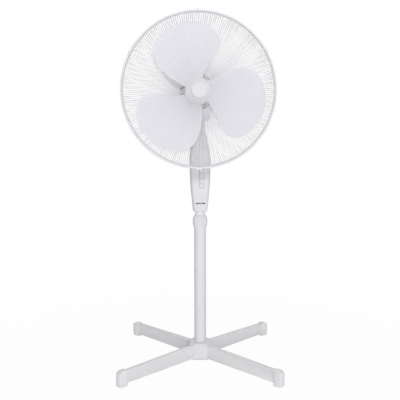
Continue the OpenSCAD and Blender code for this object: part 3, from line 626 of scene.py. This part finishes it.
@dataclass
class Guard:
    """Front and rear wire guard with their rims, clips and badge."""

    axis: HeadAxis
    front_wires: int = 96
    rear_wires: int = 216
    front_wire_r: float = 0.0006
    rear_wire_r: float = 0.0009
    rim_wire_r: float = 0.0025
    ring_wire_r: float = 0.0014
    wire_corners: int = 6
    dome_parts: int = 18
    bend_parts: int = 12
    ring_corners: int = 8
    rim_steps: int = 240
    ring_steps: int = 180
    inner_ring_steps: int = 120
    edge_ring_r: float = 0.2055
    inner_ring_r: float = 0.0515
    edge_r: float = 0.046
    side_straight: float = 0.012
    side_gap: float = 0.0004
    side_ring_ahead: float = 0.005
    plate_r: float = 0.036
    plate_hole_r: float = 0.02115
    plate_t: float = 0.0015
    wire_overlap: float = 0.003
    disc_r: float = 0.020
    disc_t: float = 0.0015
    disc_h: float = 0.003
    disc_edge: float = 0.0006
    disc_overlap: float = 0.004
    badge_r: float = 0.022
    badge_foot: float = 0.0005
    badge_round: float = 0.0013
    badge_rim: float = 0.0030
    badge_dish: float = 0.0006
    clip_edge: float = 0.0012
    nut_edge: float = 0.0008
    screw_edge: float = 0.0004
    recess_w: float = 0.0032
    recess_t: float = 0.0008
    recess_depth: float = 0.0012
    front: Span = field(default_factory=lambda: Span.of("front_guard"))
    rear: Span = field(default_factory=lambda: Span.of("rear_guard"))

    @property
    def rim_r(self) -> float:
        """Radius of the rims' centreline."""
        return self.rear.size.x / 2 - self.rim_wire_r

    @property
    def motor_front(self) -> float:
        """Depth of the motor's front face ahead of the column."""
        return self.rear.depths[0]

    @property
    def rear_rim_z(self) -> float:
        """Depth of the rear rim's centreline."""
        return self.rear.depths[1] - self.rim_wire_r

    @property
    def front_rim_z(self) -> float:
        """Depth of the front rim's centreline."""
        return self.front.depths[0] + self.rim_wire_r

    @property
    def dome_top(self) -> float:
        """Depth of the middle of the front wires."""
        return self.front.depths[1] - self.disc_t

    def build(self) -> None:
        """Builds both halves, the badge and what holds the rims together."""
        self._front_half()
        self._rear_half()
        self._badge()
        rounded_node("guard_clips", self.clip_edge, "rim_metal")
        rounded_node("guard_lock", self.clip_edge, "rim_metal")
        rounded_node("guard_nut", self.nut_edge)
        self._screw()

    def _fan_out(
        self, shape: Shape, path: Profile, count: int, wire_r: float, others: Profile | None = None
    ) -> None:
        """Repeats a wire round the axis.

        Args:
            shape: shape to add to.
            path: radius and depth of the wire's points.
            count: number of wires.
            wire_r: radius of a wire.
            others: path of two wires in three, where they differ.
        """
        for k in range(count):
            a = math.tau * (k + 0.5) / count
            out, side = around(a, 1, 0), Vector((-math.sin(a), math.cos(a), 0))
            course = others if others and k % 3 else path
            points = [out * r + Vector((0, 0, z)) for r, z in course]
            shape.sweep(points, side, wire_r, self.wire_corners)

    def _ring_profile(self, r: float, z: float) -> list[tuple[float, float]]:
        """Profile of a thin ring of radius r at depth z."""
        return circle_profile(r, z, self.ring_wire_r, self.ring_corners)

    def _front_half(self) -> None:
        """Builds the shallow dome of the front, its disc, its rim and the ring near its edge."""
        rise = self.dome_top - self.front_rim_z
        dome_r = (self.rim_r ** 2 + rise ** 2) / (2 * rise)
        centre = self.dome_top - dome_r
        start, end = (
            math.degrees(math.acos(r / dome_r)) for r in (self.rim_r, self.disc_r - self.disc_overlap)
        )
        shape = Shape()
        path = arc(0, centre, dome_r, start, end, self.dome_parts)
        self._fan_out(shape, path, self.front_wires, self.front_wire_r)
        r, edge, top = self.disc_r, self.disc_edge, self.dome_top + self.disc_t
        low = top - self.disc_h
        shape.revolve([
            (0, low), (r - edge, low), (r, low + edge), (r, top - edge), (r - edge, top), (0, top)],
            PLAIN_ROUND)
        stand_in(shape.build("front_guard_wires", self.axis.place), "front_guard")
        depth = centre + math.sqrt(dome_r ** 2 - self.edge_ring_r ** 2) - self.front_wire_r - self.ring_wire_r
        ring = Shape()
        ring.revolve(self._ring_profile(self.edge_ring_r, depth), self.ring_steps)
        # the ring takes the darker rim finish, which is painted shade
        dress(ring.build("front_guard_ring", self.axis.place), "head", "guard_metal", finish="rim_metal_painted_shade")
        self._rim("front_guard_rim", self.front_rim_z, "rim_metal")

    def _rim(self, name: str, z: float, finish: str) -> None:
        """Builds the thick wire round the edge of one half.

        Args:
            name: the rim's name.
            z: depth of its centreline.
            finish: its finish.
        """
        shape = Shape()
        shape.revolve(circle_profile(self.rim_r, z, self.rim_wire_r), self.rim_steps)
        dress(shape.build(name, self.axis.place), "head", "guard_metal", finish=finish)

    def _rear_half(self) -> None:
        """Builds the deep dish behind the blades, its rings, its plate and its rim."""
        start = (self.plate_r - self.wire_overlap, self.motor_front + self.plate_t + self.rear_wire_r)
        side_r = self.rim_r - self.rim_wire_r + self.rear_wire_r + self.side_gap
        edge = (side_r - self.edge_r, self.rear_rim_z - self.side_straight)
        reach = (edge[0] - start[0], edge[1] - start[1])
        slope = math.degrees(math.atan2(reach[1], reach[0]) - math.asin(self.edge_r / math.hypot(*reach)))
        bend = arc(*edge, self.edge_r, slope - 90, 0, self.bend_parts)
        path = [start, *bend, (side_r, self.rear_rim_z)]
        rise = (path[1][1] - start[1]) / (path[1][0] - start[0])
        halt = (self.inner_ring_r, start[1] + rise * (self.inner_ring_r - start[0]))
        shape = Shape()
        self._fan_out(shape, path, self.rear_wires, self.rear_wire_r, [halt, *path[1:]])
        inner = self._ring_profile(halt[0], halt[1] + self.rear_wire_r + self.ring_wire_r)
        shape.revolve(inner, self.inner_ring_steps)
        shape.revolve(self._ring_profile(side_r, edge[1] + self.side_ring_ahead), self.ring_steps)
        low, high = self.motor_front, self.motor_front + self.plate_t
        shape.revolve([(self.plate_hole_r, low), (self.plate_r, low),
                       (self.plate_r, high), (self.plate_hole_r, high)])
        stand_in(shape.build("rear_guard_wires", self.axis.place), "rear_guard")
        # the rear rim takes the darker rim finish, which is painted shade
        self._rim("rear_guard_rim", self.rear_rim_z, "rim_metal_painted_shade")

    def _badge(self) -> None:
        """Builds the plain centre disc with its raised edge and shallow dish."""
        low, high = Span.of("guard_badge").depths
        r, foot, turn = self.badge_r, self.badge_foot, self.badge_round
        inside = r - self.badge_rim
        shape = Shape()
        shape.revolve([
            (0, low), (r - foot, low), (r, low + foot), (r, high - turn),
            *arc(r - turn, high - turn, turn, 0, 90, 5), (inside, high),
            (inside - self.badge_dish, high - self.badge_dish),
            (r / 2, high - self.badge_dish / 2), (0, high - self.badge_dish / 6)])
        # its darker finish is painted shade
        stand_in(shape.build("badge_disc", self.axis.place), "guard_badge", "badge_plastic_painted_shade")

    def _screw(self) -> None:
        """Rounds the lock's screw and cuts its cross recess."""
        span = Span.of("guard_screw")
        piece = rounded_node("guard_screw", self.screw_edge)
        x, y, low = span.centre.x, span.centre.y, span.low.z
        for wide, deep in ((self.recess_w, self.recess_t), (self.recess_t, self.recess_w)):
            slot = Shape()
            slot.block((x - wide / 2, y - deep / 2, low - PAST),
                       (x + wide / 2, y + deep / 2, low + self.recess_depth))
            carve(piece, slot)


@dataclass
class Impeller:
    """Three broad blades on a round hub, and the ribbed nut that holds them."""

    axis: HeadAxis
    motor_front: float
    blades: int = 3
    hub_r: float = 0.0365
    hub_h: float = 0.027
    hub_wall: float = 0.0022
    hub_round: float = 0.006
    hub_lip: float = 0.0005
    hub_steps: int = 120
    bore_r: float = 0.0042
    boss_r: float = 0.009
    boss_back: float = 0.004
    web_t: float = 0.003
    web_in: float = 0.008
    groove_out: float = 0.0175
    groove_in: float = 0.0140
    groove_depth: float = 0.0008
    standoff: float = 0.012
    tip_r: float = 0.191
    blade_t: float = 0.0022
    blade_depth: float = 0.036
    blade_spread: float = 89.0
    blade_overlap: float = 0.0015
    blade_thinning: float = 0.4
    blade_bow: float = 0.005
    root_angle: float = 119.0
    root_rise: float = 0.66
    sweep: float = -30.0
    hook: float = 14.0
    tip_roundness: int = 5
    edge_roundness: int = 12
    blade_ahead: float = 0.016
    spans: int = 40
    chords: int = 24
    crease: float = 50.0
    nut_r: float = 0.013
    nut_round: float = 0.004
    nut_end: float = 0.0045
    ribs: int = 6
    rib_h: float = 0.0012
    rib_end: float = 0.002
    rib_fade: float = 0.003

    @property
    def back(self) -> float:
        """Depth of the hub's rear edge."""
        return self.motor_front + self.standoff

    def build(self) -> None:
        """Builds blades, hub and nut."""
        shape = Shape()
        for k in range(self.blades):
            self._blade(shape, 360 / self.blades * k)
        self._hub(shape)
        stand_in(shape.build("blades_and_hub", self.axis.place, self.crease), "impeller")
        self._nut()

    def _blade(self, shape: Shape, turn: float) -> None:
        """Lofts one blade from root to tip.

        Args:
            shape: shape to add to.
            turn: angle of the blade in degrees.
        """
        root = self.hub_r - self.blade_overlap
        rings = []
        for i in range(self.spans + 1):
            t = math.sin(math.pi / 2 * i / self.spans)
            full = math.sqrt(max(0.0, 1 - t ** self.tip_roundness))
            r = root + (self.tip_r - root) * t
            lean = self.root_rise + (1 - self.root_rise) * math.sin(math.pi / 2 * min(1, 2 * t))
            rise = lean * self.blade_depth / 2
            half = self.blade_t / 2 * (1 - self.blade_thinning * t)
            middle = turn + self.root_angle + self.sweep * t + self.hook * t * t
            ring = []
            for j in range(2 * self.chords):
                u = -math.cos(math.pi * j / self.chords)
                side = 1 if j > self.chords else -1
                thick = half * math.sqrt(max(0.0, 1 - abs(u) ** self.edge_roundness)) * side
                a = math.radians(middle + u * self.blade_spread / 2 * full)
                bow = (rise * u - self.blade_bow * (1 - u * u)) * full
                ring.append(around(a, r, self.back + self.blade_ahead + bow + thick))
            rings.append(ring)
        shape.skin(rings)

    def _hub(self, shape: Shape) -> None:
        """Adds the cup of the hub with its rounded front edge and the groove on its face.

        Args:
            shape: shape to add to.
        """
        back, front, r = self.back, self.back + self.hub_h, self.hub_r
        web, inside, turn, lip = front - self.web_t, r - self.hub_wall, self.hub_round, self.hub_lip
        boss, deep = back + self.boss_back, front - self.groove_depth
        shape.revolve([
            (self.bore_r, boss), (self.boss_r, boss), (self.boss_r, web), (r - self.web_in, web),
            (inside, web - turn), (inside, back), (r - lip, back), (r, back + lip),
            *arc(r - turn, front - turn, turn, 0, 90, 10),
            (self.groove_out, front), (self.groove_out - lip, deep),
            (self.groove_in + lip, deep), (self.groove_in, front), (self.bore_r, front)], self.hub_steps)

    def _nut(self) -> None:
        """Builds the nut with grip ribs round its side."""
        low, high = Span.of("spinner_nut").depths
        r, turn = self.nut_r, self.nut_round

        def wobble(a: float, z: float) -> float:
            """Swells the side at each rib and fades toward the front."""
            fade = min(1.0, max(0.0, (high - self.rib_end - z) / self.rib_fade))
            return 1 + self.rib_h / r * max(0.0, math.cos(self.ribs * a)) ** 3 * fade

        shape = Shape()
        shape.revolve([(0, low), (r, low), (r, high - self.nut_end),
                       *arc(r - turn, high - turn, turn, 0, 80, 6), (0, high)], RIBBED_ROUND, wobble)
        stand_in(shape.build("spinner_knob", self.axis.place), "spinner_nut")


@dataclass
class MotorHousing:
    """Rear cover of the motor and the knob on it."""

    cover_edge: float = 0.0008
    knob_r: float = 0.009
    knob_round: float = 0.002
    knob_side: float = 0.0022
    stem_r: float = 0.005
    stem_h: float = 0.0052
    stem_edge: float = 0.0004
    shoulder_r: float = 0.008
    shoulder_h: float = 0.008
    dish_r: float = 0.004
    dish: float = 0.0006
    grips: int = 18
    grip_depth: float = 0.05

    def build(self) -> None:
        """Rounds the cover and builds the knob."""
        rounded_node("motor_cover", self.cover_edge)
        self._knob()

    def _knob(self) -> None:
        """Builds the push-pull knob with its knurled side."""
        span = Span.of("clutch_knob")
        low, high, r, turn, edge = span.low.z, span.high.z, self.knob_r, self.knob_round, self.stem_edge
        stem = low + self.stem_h

        def wobble(a: float, z: float) -> float:
            """Knurls the wide part of the knob."""
            band = 1.0 if stem < z < high - turn / 2 else 0.0
            return 1 - self.grip_depth * band * (0.5 + 0.5 * math.cos(self.grips * a))

        shape = Shape()
        shape.revolve([
            (0, low), (self.stem_r - edge, low), (self.stem_r, low + edge), (self.stem_r, stem - edge),
            (self.shoulder_r, stem), (r, low + self.shoulder_h), (r, high - self.knob_side),
            *arc(r - turn, high - turn, turn, 0, 90, 5), (self.dish_r, high - edge), (0, high - self.dish),
        ], RIBBED_ROUND, wobble)
        place = Matrix.Translation((span.centre.x, span.centre.y, 0))
        stand_in(shape.build("swing_knob_cap", place), "clutch_knob")


# ---------- control housing ----------


BUTTONS = ("button_off", "button_low", "button_medium", "button_high")


def ease(share: float) -> float:
    """Smooth step from 0 to 1."""
    c = min(max(share, 0.0), 1.0)
    return c * c * (3 - 2 * c)


def squircle(a: float, power: float) -> tuple[float, float]:
    """Point of a rounded square of half width 1, at an angle in radians; a lower power is squarer."""
    c, s = math.cos(a), math.sin(a)
    return math.copysign(abs(c) ** power, c), math.copysign(abs(s) ** power, s)


@dataclass
class ControlHousing:
    """Leaf-shaped shells with a slot below and four push buttons."""

    width: float = 0.060
    depth: float = 0.056
    wall: float = 0.0024
    end_wall: float = 0.0034
    centre_y: float = -0.002
    split_y: float = 0.001
    seam: float = 0.0005
    squareness: float = 0.42
    foot_share: float = 0.68
    top_share: float = 0.45
    taper_from: float = 0.6
    flatness: float = 0.1
    slot_w: float = 0.027
    slot_h: float = 0.0038
    slot_up: float = 0.025
    slot_floor: float = 0.003
    lip_half: float = 0.0012
    lip_sink: float = 0.0006
    lip_out: float = 0.00128
    lip_parts: int = 24
    lip_corners: int = 10
    lip_bluntness: int = 8
    button_x: float = 0.0034
    button_w: float = 0.014
    button_h: float = 0.011
    button_depth: float = 0.008
    button_squareness: float = 0.3
    button_corners: int = 64
    button_rings: int = 12
    button_dish: float = 0.0007
    button_edge: Profile = ((1.0, 0.0009), (0.985, 0.0004), (0.95, 0.0001))
    bay_y: float = -0.018
    gap: float = 0.0003
    strip_w: float = 0.0012
    strip_t: float = 0.0011
    strip_proud: float = 0.0004
    strip_edge: float = 0.0003
    strip_below: float = 0.0035
    strip_end: float = 0.040
    strip_parts: int = 24
    strip_corner: float = 50.0
    mast_r: float = 0.01415
    mast_in: float = 0.009
    well_r: float = 0.0034
    well_x: float = 0.019
    well_y: float = 0.012
    well_depth: float = 0.03
    well_steps: int = 24
    screw_r: float = 0.003
    fixing_edge: float = 0.0004
    steps: int = 64
    corners: int = 128
    span: Span = field(default_factory=lambda: Span.of("control_front", "control_back"))

    @property
    def height(self) -> float:
        """Height of the housing."""
        return self.span.size.z

    def half(self, z: float) -> tuple[float, float]:
        """Half width and half depth at a height.

        Args:
            z: height in the frame.

        Returns:
            both, in metres.
        """
        t = (z - self.span.low.z) / self.height
        if t < 0.5:
            swell = self.foot_share + (1 - self.foot_share) * math.sin(math.pi * t)
        else:
            swell = 1 - (1 - self.top_share) * ease((t - self.taper_from) / (1 - self.taper_from))
        return self.width / 2 * swell, self.depth / 2 * (self.flatness + (1 - self.flatness) * swell)

    def face_y(self, x: float, z: float) -> float:
        """Where the front face lies.

        Args:
            x: distance from the middle.
            z: height in the frame.

        Returns:
            the y of the face.
        """
        half_x, half_y = self.half(z)
        return self.centre_y - half_y * (1 - abs(x / half_x) ** (1 / self.squareness)) ** self.squareness

    def _solid(self, inset: float, trim: float) -> Shape:
        """Lofts the leaf form.

        Args:
            inset: how far inside the outer face.
            trim: how much shorter at each end.

        Returns:
            the closed form.
        """
        unit = [squircle(math.tau * (i + 0.5) / self.corners, self.squareness) for i in range(self.corners)]
        rings = []
        for k in range(self.steps + 1):
            z = self.span.low.z + trim + (self.height - 2 * trim) * k / self.steps
            half_x, half_y = (h - inset for h in self.half(z))
            rings.append([Vector((half_x * x, self.centre_y + half_y * y, z)) for x, y in unit])
        shape = Shape()
        shape.skin(rings)
        return shape

    def build(self) -> None:
        """Builds both shells, the slot's lip, the buttons and their frame."""
        self._shell("control_front", True)
        self._shell("control_back", False)
        self._slot_lip()
        self._button_frame()
        for node in BUTTONS:
            self._button(node)
        for node in ("housing_screws", "cord_gland"):
            rounded_node(node, self.fixing_edge)

    def _shell(self, node: str, front: bool) -> None:
        """Builds one shell.

        Args:
            node: CAD node that it replaces.
            front: whether it is the front one.
        """
        piece = self._solid(0, 0).build(node + "_shell")
        carve(piece, self._solid(self.wall, self.end_wall))
        low, high, wide = self.span.low.z, self.span.high.z, self.width
        away, bore, stem = Shape(), Shape(), Shape()
        if front:
            away.block((-wide, self.split_y - self.seam / 2, low - PAST), (wide, wide, high + PAST))
        else:
            away.block((-wide, -wide, low - PAST), (wide, self.split_y + self.seam / 2, high + PAST))
        floor, ceiling = low - PAST, low + self.mast_in
        bore.revolve([(0, floor), (self.mast_r, floor), (self.mast_r, ceiling), (0, ceiling)], PLAIN_ROUND)
        half = Span.of("neck_post").size.x / 2 + self.gap
        stem.block((-half, -half, high - PAST), (half, half, high + PAST))
        carve(piece, away, bore, stem)
        if front:
            self._cut_front(piece)
        else:
            self._cut_wells(piece)
        tidy_mesh(piece.data, CREASE)
        dress(piece, "mast", "housing_plastic", node)

    def _cut_front(self, piece: bpy.types.Object) -> None:
        """Cuts the slot and the button bays.

        Args:
            piece: the front shell.
        """
        slot = Shape()
        z = self.span.low.z + self.slot_up
        slot.block((-self.slot_w / 2, -self.depth, z - self.slot_h / 2),
                   (self.slot_w / 2, -self.mast_r - self.slot_floor, z + self.slot_h / 2))
        carve(piece, slot)
        half_w, half_h = self.button_w / 2 + self.gap, self.button_h / 2 + self.gap
        for node in BUTTONS:
            centre, bay = Span.of(node).centre, Shape()
            bay.block((centre.x - half_w, -self.depth, centre.z - half_h),
                      (centre.x + half_w, self.bay_y, centre.z + half_h))
            carve(piece, bay)

    def _cut_wells(self, piece: bpy.types.Object) -> None:
        """Cuts the wells of the housing screws.

        Args:
            piece: the rear shell.
        """
        r, deep = self.well_r, self.well_depth
        rows = Span.of("housing_screws")
        for side in (-1, 1):
            for z in (rows.low.z + self.screw_r, rows.high.z - self.screw_r):
                well = Shape()
                well.revolve([(0, 0), (r, 0), (r, deep), (0, deep)], self.well_steps)
                place = Matrix.Translation((side * self.well_x, self.split_y + self.well_y, z))
                carve(piece, well, place=place @ Matrix.Rotation(math.radians(-90), 4, "X"))

    def _slot_lip(self) -> None:
        """Adds the raised lip along the top of the slot."""
        z = self.span.low.z + self.slot_up + self.slot_h / 2 + self.lip_half
        steps, corners = self.lip_parts, self.lip_corners
        rings = []
        for i in range(steps + 1):
            x = self.slot_w * (i / steps - 0.5)
            full = math.sqrt(max(0.0, 1 - (2 * i / steps - 1) ** self.lip_bluntness))
            y = self.face_y(x, z) + self.lip_sink
            rings.append([
                Vector((x, y - self.lip_out * full * math.cos(a), z + self.lip_half * full * math.sin(a)))
                for a in (math.tau * k / corners for k in range(corners))])
        shape = Shape()
        shape.skin(rings)
        dress(shape.build("slot_lip"), "mast", "housing_plastic")

    def _button_frame(self) -> None:
        """Adds the slim raised strip that frames the buttons and runs up the front."""
        half_w, half_h, gap, wide = self.button_w / 2, self.button_h / 2, self.gap, self.strip_w
        places = [self.button_x + x for x in (-half_w - wide, -half_w - gap, half_w + gap, half_w + wide)]
        heights = [Span.of(node).centre.z for node in BUTTONS]
        rows = [heights[0] - half_h - self.strip_below]
        for z in heights:
            rows += [z - half_h - gap, z + half_h + gap]
        last, top, parts = rows[-1], self.span.high.z - self.strip_end, self.strip_parts
        rows += [last + (top - last) * k / parts for k in range(1, parts + 1)]
        columns = len(places)
        shape = Shape()
        shape.points = [Vector((x, self.face_y(x, z) - self.strip_proud, z)) for z in rows for x in places]
        holes = {(1 + 2 * k, 1) for k in range(len(heights))}
        for r in range(len(rows) - 1):
            for c in range(columns - 1):
                if (r, c) not in holes:
                    a = r * columns + c
                    shape.faces.append((a, a + 1, a + columns + 1, a + columns))
        piece = shape.build("button_frame")
        thick = piece.modifiers.new("thickness", "SOLIDIFY")
        thick.thickness, thick.offset = self.strip_t, 0
        settle(piece)
        soften(piece, self.strip_edge, self.strip_corner)
        dress(piece, "mast", "housing_plastic")

    def _button(self, node: str) -> None:
        """Builds one push button with a rounded, slightly dished face.

        Args:
            node: CAD node that it replaces.
        """
        span = Span.of(node)
        corners, grid, face = self.button_corners, self.button_rings, self.button_edge[-1][0]
        unit = [squircle(math.tau * (i + 0.5) / corners, self.button_squareness) for i in range(corners)]
        front = span.low.y
        back = min(front + self.button_depth, span.high.y)
        levels = [(1.0, back), *((share, front + step) for share, step in self.button_edge)]
        for k in range(1, grid):
            share = 1 - k / grid
            levels.append((face * share, front + self.button_dish * (1 - share ** 2)))
        half_w, half_h = self.button_w / 2, self.button_h / 2
        shape = Shape()
        shape.skin([
            [Vector((self.button_x + half_w * x * share, y, span.centre.z + half_h * z * share))
             for x, z in unit] for share, y in levels])
        # the button finish is darkened as painted shade
        dress(shape.build(node + "_cap"), BODY_OF_NODE[node], "button_plastic", node)


# ---------- column, stand and neck ----------


@dataclass
class Column:
    """Fixed tube, locking collar and sliding mast."""

    outer_wall: float = 0.0015
    inner_wall: float = 0.0012
    lip: float = 0.0004
    steps: int = 96
    tube_parts: int = 12
    neck: float = 0.0055
    shoulder: float = 0.0030
    foot_gap: float = 0.0009
    top_gap: float = 0.0006
    mast_gap: float = 0.0005
    neck_wall: float = 0.0010
    foot_wall: float = 0.0006
    collar_edge: float = 0.0006
    edge_share: float = 0.06
    wing_gap: float = 0.0001
    wing_power: float = 0.6
    wing_from: float = 0.55
    wing_slope: float = 0.33
    bore_top: float = 0.005
    bore_step: float = 0.007
    collar_steps: int = 56
    collar_sides: int = 144

    def build(self) -> None:
        """Builds the tubes and the collar."""
        self._tube("outer_tube", self.outer_wall)
        self._tube("inner_tube", self.inner_wall)
        self._collar()

    def _tube(self, node: str, wall: float) -> None:
        """Builds a tube with rolled ends.

        Args:
            node: CAD node that it replaces.
            wall: thickness of the tube.
        """
        span = Span.of(node)
        r, low, high, lip = span.size.x / 2, span.low.z, span.high.z, self.lip
        shape = Shape()
        shape.revolve([
            (r - wall, low), *arc(r - lip, low + lip, lip, -90, 0, 4),
            *((r, low + (high - low) * k / self.tube_parts) for k in range(1, self.tube_parts)),
            *arc(r - lip, high - lip, lip, 0, 90, 4), (r - wall, high)], self.steps)
        stand_in(shape.build(node + "_rolled"), node)

    def _collar(self) -> None:
        """Builds the collar with a grip wing on each side and a top that narrows to the mast."""
        span = Span.of("lock_collar")
        low, high, height, outer = span.low.z, span.high.z, span.size.z, span.size.x / 2
        foot_r = Span.of("outer_tube").size.x / 2 + self.foot_gap
        top_r = Span.of("collet").size.x / 2 + self.top_gap
        mast_r = Span.of("inner_tube").size.x / 2 + self.mast_gap
        turns = [math.tau * k / self.collar_sides for k in range(self.collar_sides)]
        grip = [ease((abs(math.cos(a)) - self.wing_from) / self.wing_slope) for a in turns]
        rings = []
        for i in range(self.collar_steps + 1):
            t = i / self.collar_steps
            plain = foot_r + (top_r - foot_r) * t
            plain += (mast_r + self.neck_wall - plain) * ease((self.neck - height * (1 - t)) / self.shoulder)
            arch = math.sin(math.pi * min(1.0, t / (1 - self.neck / height)))
            wing = max(0.0, (outer - self.wing_gap - plain) * arch ** self.wing_power)
            near = max(0.0, (abs(2 * t - 1) - 1 + self.edge_share) / self.edge_share)
            edge = self.collar_edge * (1 - math.sqrt(max(0.0, 1 - near ** 2)))
            rings.append([around(a, plain - edge + wing * g, low + height * t) for a, g in zip(turns, grip)])
        inside = foot_r - self.foot_wall
        for r, z in ((mast_r, high), (mast_r, high - self.bore_top),
                     (inside, high - self.bore_step), (inside, low)):
            rings.append([around(a, r, z) for a in turns])
        shape = Shape()
        shape.skin(rings, loop=True)
        stand_in(shape.build("lock_collar_winged"), "lock_collar", "housing_plastic")


@dataclass
class Stand:
    """Cross of feet, its end caps, and the hub."""

    bar_edge: float = 0.0010
    cap_edge: float = 0.0008
    hub_edge: float = 0.0018
    plate_edge: float = 0.0006

    def build(self) -> None:
        """Rounds the pressed and moulded edges of the stand."""
        rounded_node("foot_bar_lower", self.bar_edge)
        rounded_node("foot_bar_upper", self.bar_edge)
        rounded_node("foot_caps", self.cap_edge)
        rounded_node("base_hub", self.hub_edge, "housing_plastic")
        rounded_node("base_plate", self.plate_edge)
        rounded_node("tie_bolt", self.plate_edge)


@dataclass
class Neck:
    """Post, tilt yoke and the bolt between them."""

    yoke_edge: float = 0.0010
    bolt_edge: float = 0.0006
    pivot_edge: float = 0.0004

    def build(self) -> None:
        """Rounds the edges of the neck's pieces."""
        rounded_node("neck_post", self.yoke_edge)
        rounded_node("tilt_yoke", self.yoke_edge)
        rounded_node("tilt_bolt", self.bolt_edge)
        rounded_node("tilt_nut", self.bolt_edge)
        rounded_node("pivot_post", self.pivot_edge)


@dataclass
class InnerParts:
    """Motor, gears and board, which keep their CAD shapes."""

    def build(self) -> None:
        """Gives every CAD node the finish of its slot."""
        for node, piece in frame["nodes"].items():
            finish = FINISHES[SLOT_OF_NODE[node]].material()
            for slot in piece.material_slots:
                slot.material = finish
            LOG.info("%s: finish %s", node, finish.name)


# ---------- studio ----------

WHITE = (1, 1, 1, 1)


def facing(place: Vector, aim: Vector) -> Matrix:
    """Matrix that puts a lamp or camera at a place and turns it toward another."""
    return Matrix.Translation(place) @ (aim - place).to_track_quat("-Z", "Y").to_matrix().to_4x4()


@dataclass(frozen=True)
class Lamp:
    """A soft square lamp: where it hangs, its edge in metres and its power in watts."""

    name: str
    place: Triple
    size: float
    power: float

    def build(self, aim: Vector) -> None:
        """Hangs the lamp.

        Args:
            aim: point that it faces.
        """
        data = bpy.data.lights.new(self.name, "AREA")
        data.size, data.energy = self.size, self.power
        lamp = bpy.data.objects.new(self.name, data)
        bpy.context.scene.collection.objects.link(lamp)
        lamp.matrix_world = facing(Vector(self.place), aim)


@dataclass
class Studio:
    """Camera, floor, lamps and world."""

    distance: float = 1.79
    azimuth: float = -3.5
    eye: float = 0.68
    aim: float = 0.4845
    roll: float = -0.1
    view_angle: float = 36.5
    sensor: float = 36.0
    floor_half: float = 6.0
    floor_cells: int = 8
    floor_grey: float = 0.8
    shadow_near: float = 0.3
    shadow_far: float = 1.3
    floor_glow: float = 0.965
    ambient: float = 0.42
    lamp_aim: float = 0.6
    lamps: tuple[Lamp, ...] = (
        Lamp("key", (0.35, -4.2, 1.95), 0.9, 74),
        Lamp("fill", (-0.2, -4.2, 0.75), 1.8, 30),
        Lamp("back", (0.5, 4.2, 1.9), 2.2, 42),
    )

    def build(self) -> None:
        """Builds the whole studio."""
        self._camera()
        self._floor()
        self._world()
        for lamp in self.lamps:
            lamp.build(Vector((0, 0, self.lamp_aim)))
        bpy.context.scene.view_settings.view_transform = "Standard"

    def _camera(self) -> None:
        """Places the camera on its circle round the column."""
        turn = math.radians(self.azimuth)
        data = bpy.data.cameras.new("camera")
        data.sensor_width = self.sensor
        data.angle = math.radians(self.view_angle)
        camera = bpy.data.objects.new("camera", data)
        bpy.context.scene.collection.objects.link(camera)
        place = Vector((math.sin(turn) * self.distance, -math.cos(turn) * self.distance, self.eye))
        roll = Matrix.Rotation(math.radians(self.roll), 4, "Z")
        camera.matrix_world = facing(place, Vector((0, 0, self.aim))) @ roll
        bpy.context.scene.camera = camera

    def _floor(self) -> None:
        """Builds the pale floor, near white to the camera and shaded by the fan."""
        half, cells, grey = self.floor_half, self.floor_cells, self.floor_grey
        line = [-half + 2 * half * k / cells for k in range(cells + 1)]
        shape = Shape()
        shape.skin([[Vector((x, y, 0)) for x in line] for y in line], wrap=False, caps=False)
        floor = shape.build("floor")
        made = bpy.data.materials.new("floor_paper")
        made.use_nodes = True
        board = Board(made.node_tree)
        paper = board.node("ShaderNodeBsdfDiffuse", inputs={"Color": (grey, grey, grey, 1)})
        white = board.node("ShaderNodeEmission", inputs={"Strength": 1.0})
        place = board.node("ShaderNodeTexCoord").outputs["Object"]
        away = board.number("ShaderNodeVectorMath", "Value", {"operation": "LENGTH"}, {0: place})
        fade = board.number(
            "ShaderNodeMapRange", "Result", {"interpolation_type": "SMOOTHSTEP"},
            {"Value": away, "From Min": self.shadow_near, "From Max": self.shadow_far,
             "To Min": self.floor_glow, "To Max": 1.0},
        )
        mixed = board.node(
            "ShaderNodeMixShader",
            inputs={0: self._seen(board) * fade, 1: paper.outputs["BSDF"], 2: white.outputs["Emission"]},
        )
        board.node("ShaderNodeOutputMaterial", inputs={"Surface": mixed.outputs["Shader"]})
        floor.data.materials.append(made)

    @staticmethod
    def _seen(board: Board) -> Number:
        """Tells the rays that show the backdrop from those that it lights.

        Args:
            board: tree to add to.

        Returns:
            1 for camera, glossy and transmission rays, and 0 for the rest.
        """
        paths = board.node("ShaderNodeLightPath")
        seen, glossy, through = (
            Number(board, paths.outputs[name])
            for name in ("Is Camera Ray", "Is Glossy Ray", "Is Transmission Ray")
        )
        return seen.highest(glossy).highest(through)

    def _world(self) -> None:
        """Sets a white backdrop that lights the fan more softly than it looks."""
        world = bpy.data.worlds.new("studio")
        world.use_nodes = True
        bpy.context.scene.world = world
        board = Board(world.node_tree)
        soft = board.node("ShaderNodeBackground", inputs={"Strength": self.ambient, "Color": WHITE})
        white = board.node("ShaderNodeBackground", inputs={"Strength": 1.0, "Color": WHITE})
        mixed = board.node(
            "ShaderNodeMixShader",
            inputs={0: self._seen(board), 1: soft.outputs["Background"], 2: white.outputs["Background"]},
        )
        board.node("ShaderNodeOutputWorld", inputs={"Surface": mixed.outputs["Shader"]})


class Assembly(Protocol):
    """Anything that builds its own pieces."""

    def build(self) -> None:
        """Builds them."""


def build_all(assemblies: Iterable[Assembly]) -> None:
    """Builds each sub-assembly in order.

    Args:
        assemblies: objects with a build method.
    """
    for assembly in assemblies:
        LOG.info("building %s", type(assembly).__name__)
        assembly.build()


def main() -> None:
    """Builds the fan and the studio round it."""
    logging.basicConfig(level=logging.INFO, format="%(name)s %(message)s")
    axis = HeadAxis()
    guard = Guard(axis)
    build_all([
        Studio(), InnerParts(), Stand(), Column(), ControlHousing(), Neck(), MotorHousing(),
        Impeller(axis, guard.motor_front), guard,
    ])


if __name__ == "__main__":
    main()
